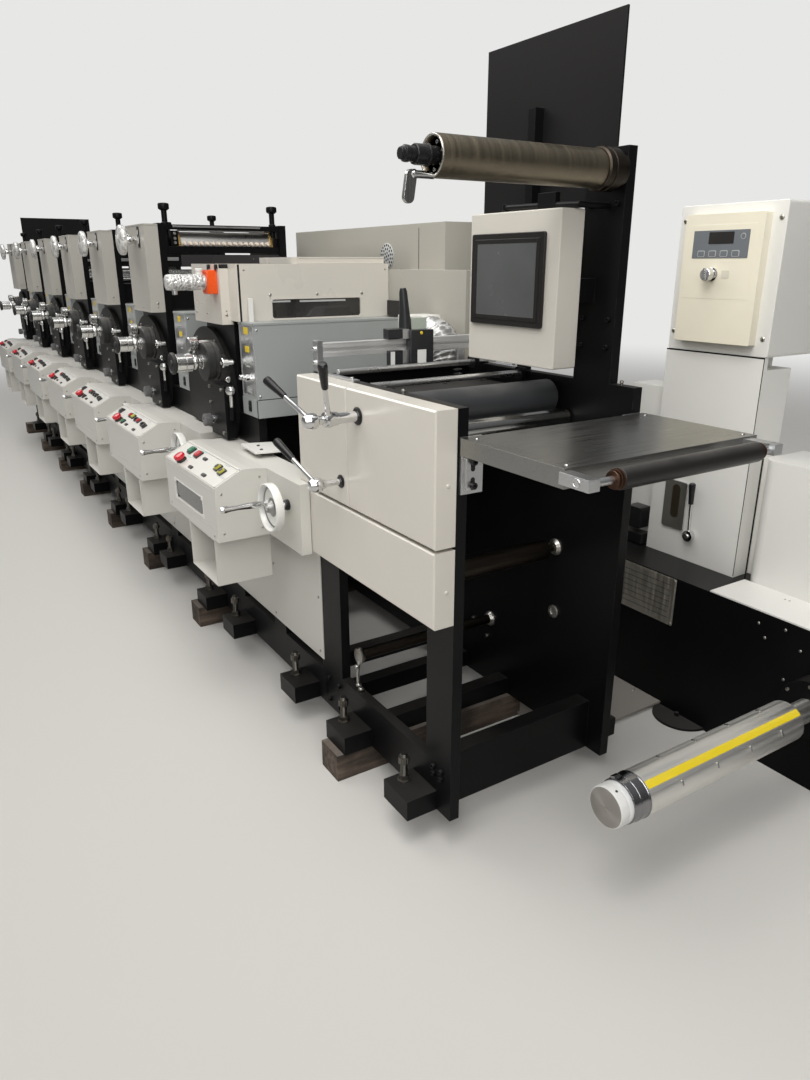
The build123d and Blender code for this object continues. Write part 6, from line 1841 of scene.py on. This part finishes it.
# Air shaft: a smooth polished alloy tube with two rows of gripping lugs and a painted strip, a
# dark chromed clamp collar near its open end and a white plastic cap with a turned face
shaft_steel = worked_steel(
    "air_shaft_alloy", (0.92, 0.91, 0.87), 0.46, (90.0, 0.6, 90.0), 0.0, spread=0.10, stained=0.1
)
SHAFT_RADIUS = 58.0
shaft = Shape()
shaft.turned(
    SHAFT,
    TO_DRIVE,
    [
        (66, 50), (66, 56), (68, SHAFT_RADIUS), (674, SHAFT_RADIUS), (679, 55), (679, 34), (681, 33),
        (874, 33),
    ],
    72,
)
build(shaft, "air_shaft_tube", shaft_steel, "air_shaft_body", stands_for=["air_shaft"])


def seat_on_shaft(along, turn):
    """A seat on the shaft's axis, moved along it in millimetres and turned about it in degrees."""
    turning = Matrix.Rotation(math.radians(turn), 4, "Y")
    return Matrix.Translation(SHAFT + Vector((0, along, 0))) @ turning


collar = Shape()
collar.turned(
    SHAFT, TO_DRIVE,
    [(14, 46), (14, 53), (16, 56), (36, 57), (37, 58), (62, 58), (64, 59.5), (67, 59.5), (67, 50)], 72,
)
collar.seat = seat_on_shaft(26, -24)
collar.block(-7.0, 7.0, -10.0, 10.0, 50.0, 62.0)
dark_chrome = worked_steel(
    "dark_chrome", (0.30, 0.30, 0.31), 0.16, (30.0, 30.0, 30.0), 0.0, spread=0.05, stained=0.2
)
build(collar, "air_shaft_collar", dark_chrome, "air_shaft_body", edge=0.6)
build(
    Shape().turned(SHAFT, TO_DRIVE, [(-2, 46), (-2, 52), (2, 54), (12, 54), (16, 52), (16, 46)], 60),
    "air_shaft_clear_ring", moulded("milky_clear_plastic", (0.82, 0.83, 0.83), 0.12, 1.0),
    "air_shaft_body",
)
cap_white = moulded("shaft_cap_white", (0.78, 0.78, 0.76), 0.38, 0.2)
build(
    Shape().turned(
        SHAFT, TO_OPERATOR, [(0, 49), (1, 53), (22, 53), (25, 51.5), (25.6, 50), (25.6, 47)], 60
    ),
    "air_shaft_cap", cap_white, "air_shaft_body",
)
cap_hole = Shape()
cap_hole.seat = seat_on_shaft(-12, 18)
cap_hole.turned((0, 0, 52.0), UP, [(0, 3.4), (1.3, 3.4), (1.3, 0)], 16)
build(cap_hole, "air_shaft_cap_hole", black_plastic, "air_shaft_body")
cap_face = Shape()
cap_face.turned(SHAFT, TO_OPERATOR, [(25, 50), (25.6, 49.5), (26, 48.5), (26, 2.0), (25.6, 0)], 60)


def turned_face(name, colour, roughness, centre):
    """A face turned on the lathe: fine rings about its centre, in tone and relief."""
    material, tree = blank_material(name)
    here = add_node(tree, "ShaderNodeTexCoord").outputs["Object"]
    flat = maths(tree, "SUBTRACT", here, centre, kind="VectorMath")
    flat = maths(tree, "MULTIPLY", flat, (1.0, 0.0, 1.0), kind="VectorMath")
    far = maths(tree, "LENGTH", flat, kind="VectorMath", out="Value")
    wave = maths(tree, "SINE", maths(tree, "MULTIPLY", far, 4200.0))
    wear = group_node(tree, marks, {"Edge Size": 0.001, "Tone Scale": 20.0, "Fine Scale": 200.0})
    dark = tuple(0.8 * c for c in colour)
    shade = blend_colour(tree, span(tree, wave, 0.0, 1.0, -1.0, 1.0), dark, colour)
    gloss = span(tree, wear.outputs["Tone"], roughness * 0.8, roughness * 1.3)
    bump = relief(tree, wave, 0.15, 0.0002, wear.outputs["Normal"])
    rings = add_node(tree, "ShaderNodeTangent", {"direction_type": "RADIAL", "axis": "Y"})
    surface(
        tree, shade, gloss, bump, {"Metallic": 1.0, "Anisotropic": 0.85, "Tangent": rings.outputs[0]}
    )
    return material


build(
    cap_face, "air_shaft_cap_face",
    turned_face("turned_cap_face", (0.50, 0.48, 0.45), 0.32, tuple(spot(*SHAFT))), "air_shaft_body",
)
strip = Shape()
lugs = Shape()


def on_shaft(turn, out):
    """A place on the shaft's skin, as x and z; turn goes from straight up toward the near end."""
    up, ahead = around(SHAFT_RADIUS + out, turn)
    return SHAFT.x + ahead, SHAFT.z + up


strip_turns = [27.0 + 2.5 * i for i in range(9)]
strip_outline = [on_shaft(turn, 0.5) for turn in strip_turns]
strip_outline += [on_shaft(turn, -1.5) for turn in reversed(strip_turns)]
strip.slab(strip_outline, "y", 290.0, 894.0)
build(
    strip, "air_shaft_strip", moulded("strip_yellow", (0.90, 0.69, 0.01), 0.4, 0.2), "air_shaft_body",
)
for turn, first in ((-21.0, 394.0), (67.0, 399.0), (158.0, 394.0), (246.0, 399.0)):
    x, z = on_shaft(turn, -2.0)
    up, ahead = around(1.0, turn)
    facing = Vector((ahead, 0.0, up)).to_track_quat("Z", "Y").to_matrix().to_4x4()
    for i in range(4):
        lugs.seat = Matrix.Translation(Vector((x, first + 133.0 * i, z))) @ facing
        lugs.slab(rounded(-2.5, 2.5, -8.0, 8.0, 2.2, 3), "z", 0.0, 4.5)
build(lugs, "air_shaft_lugs", ground_steel, "air_shaft_body", edge=0.8)
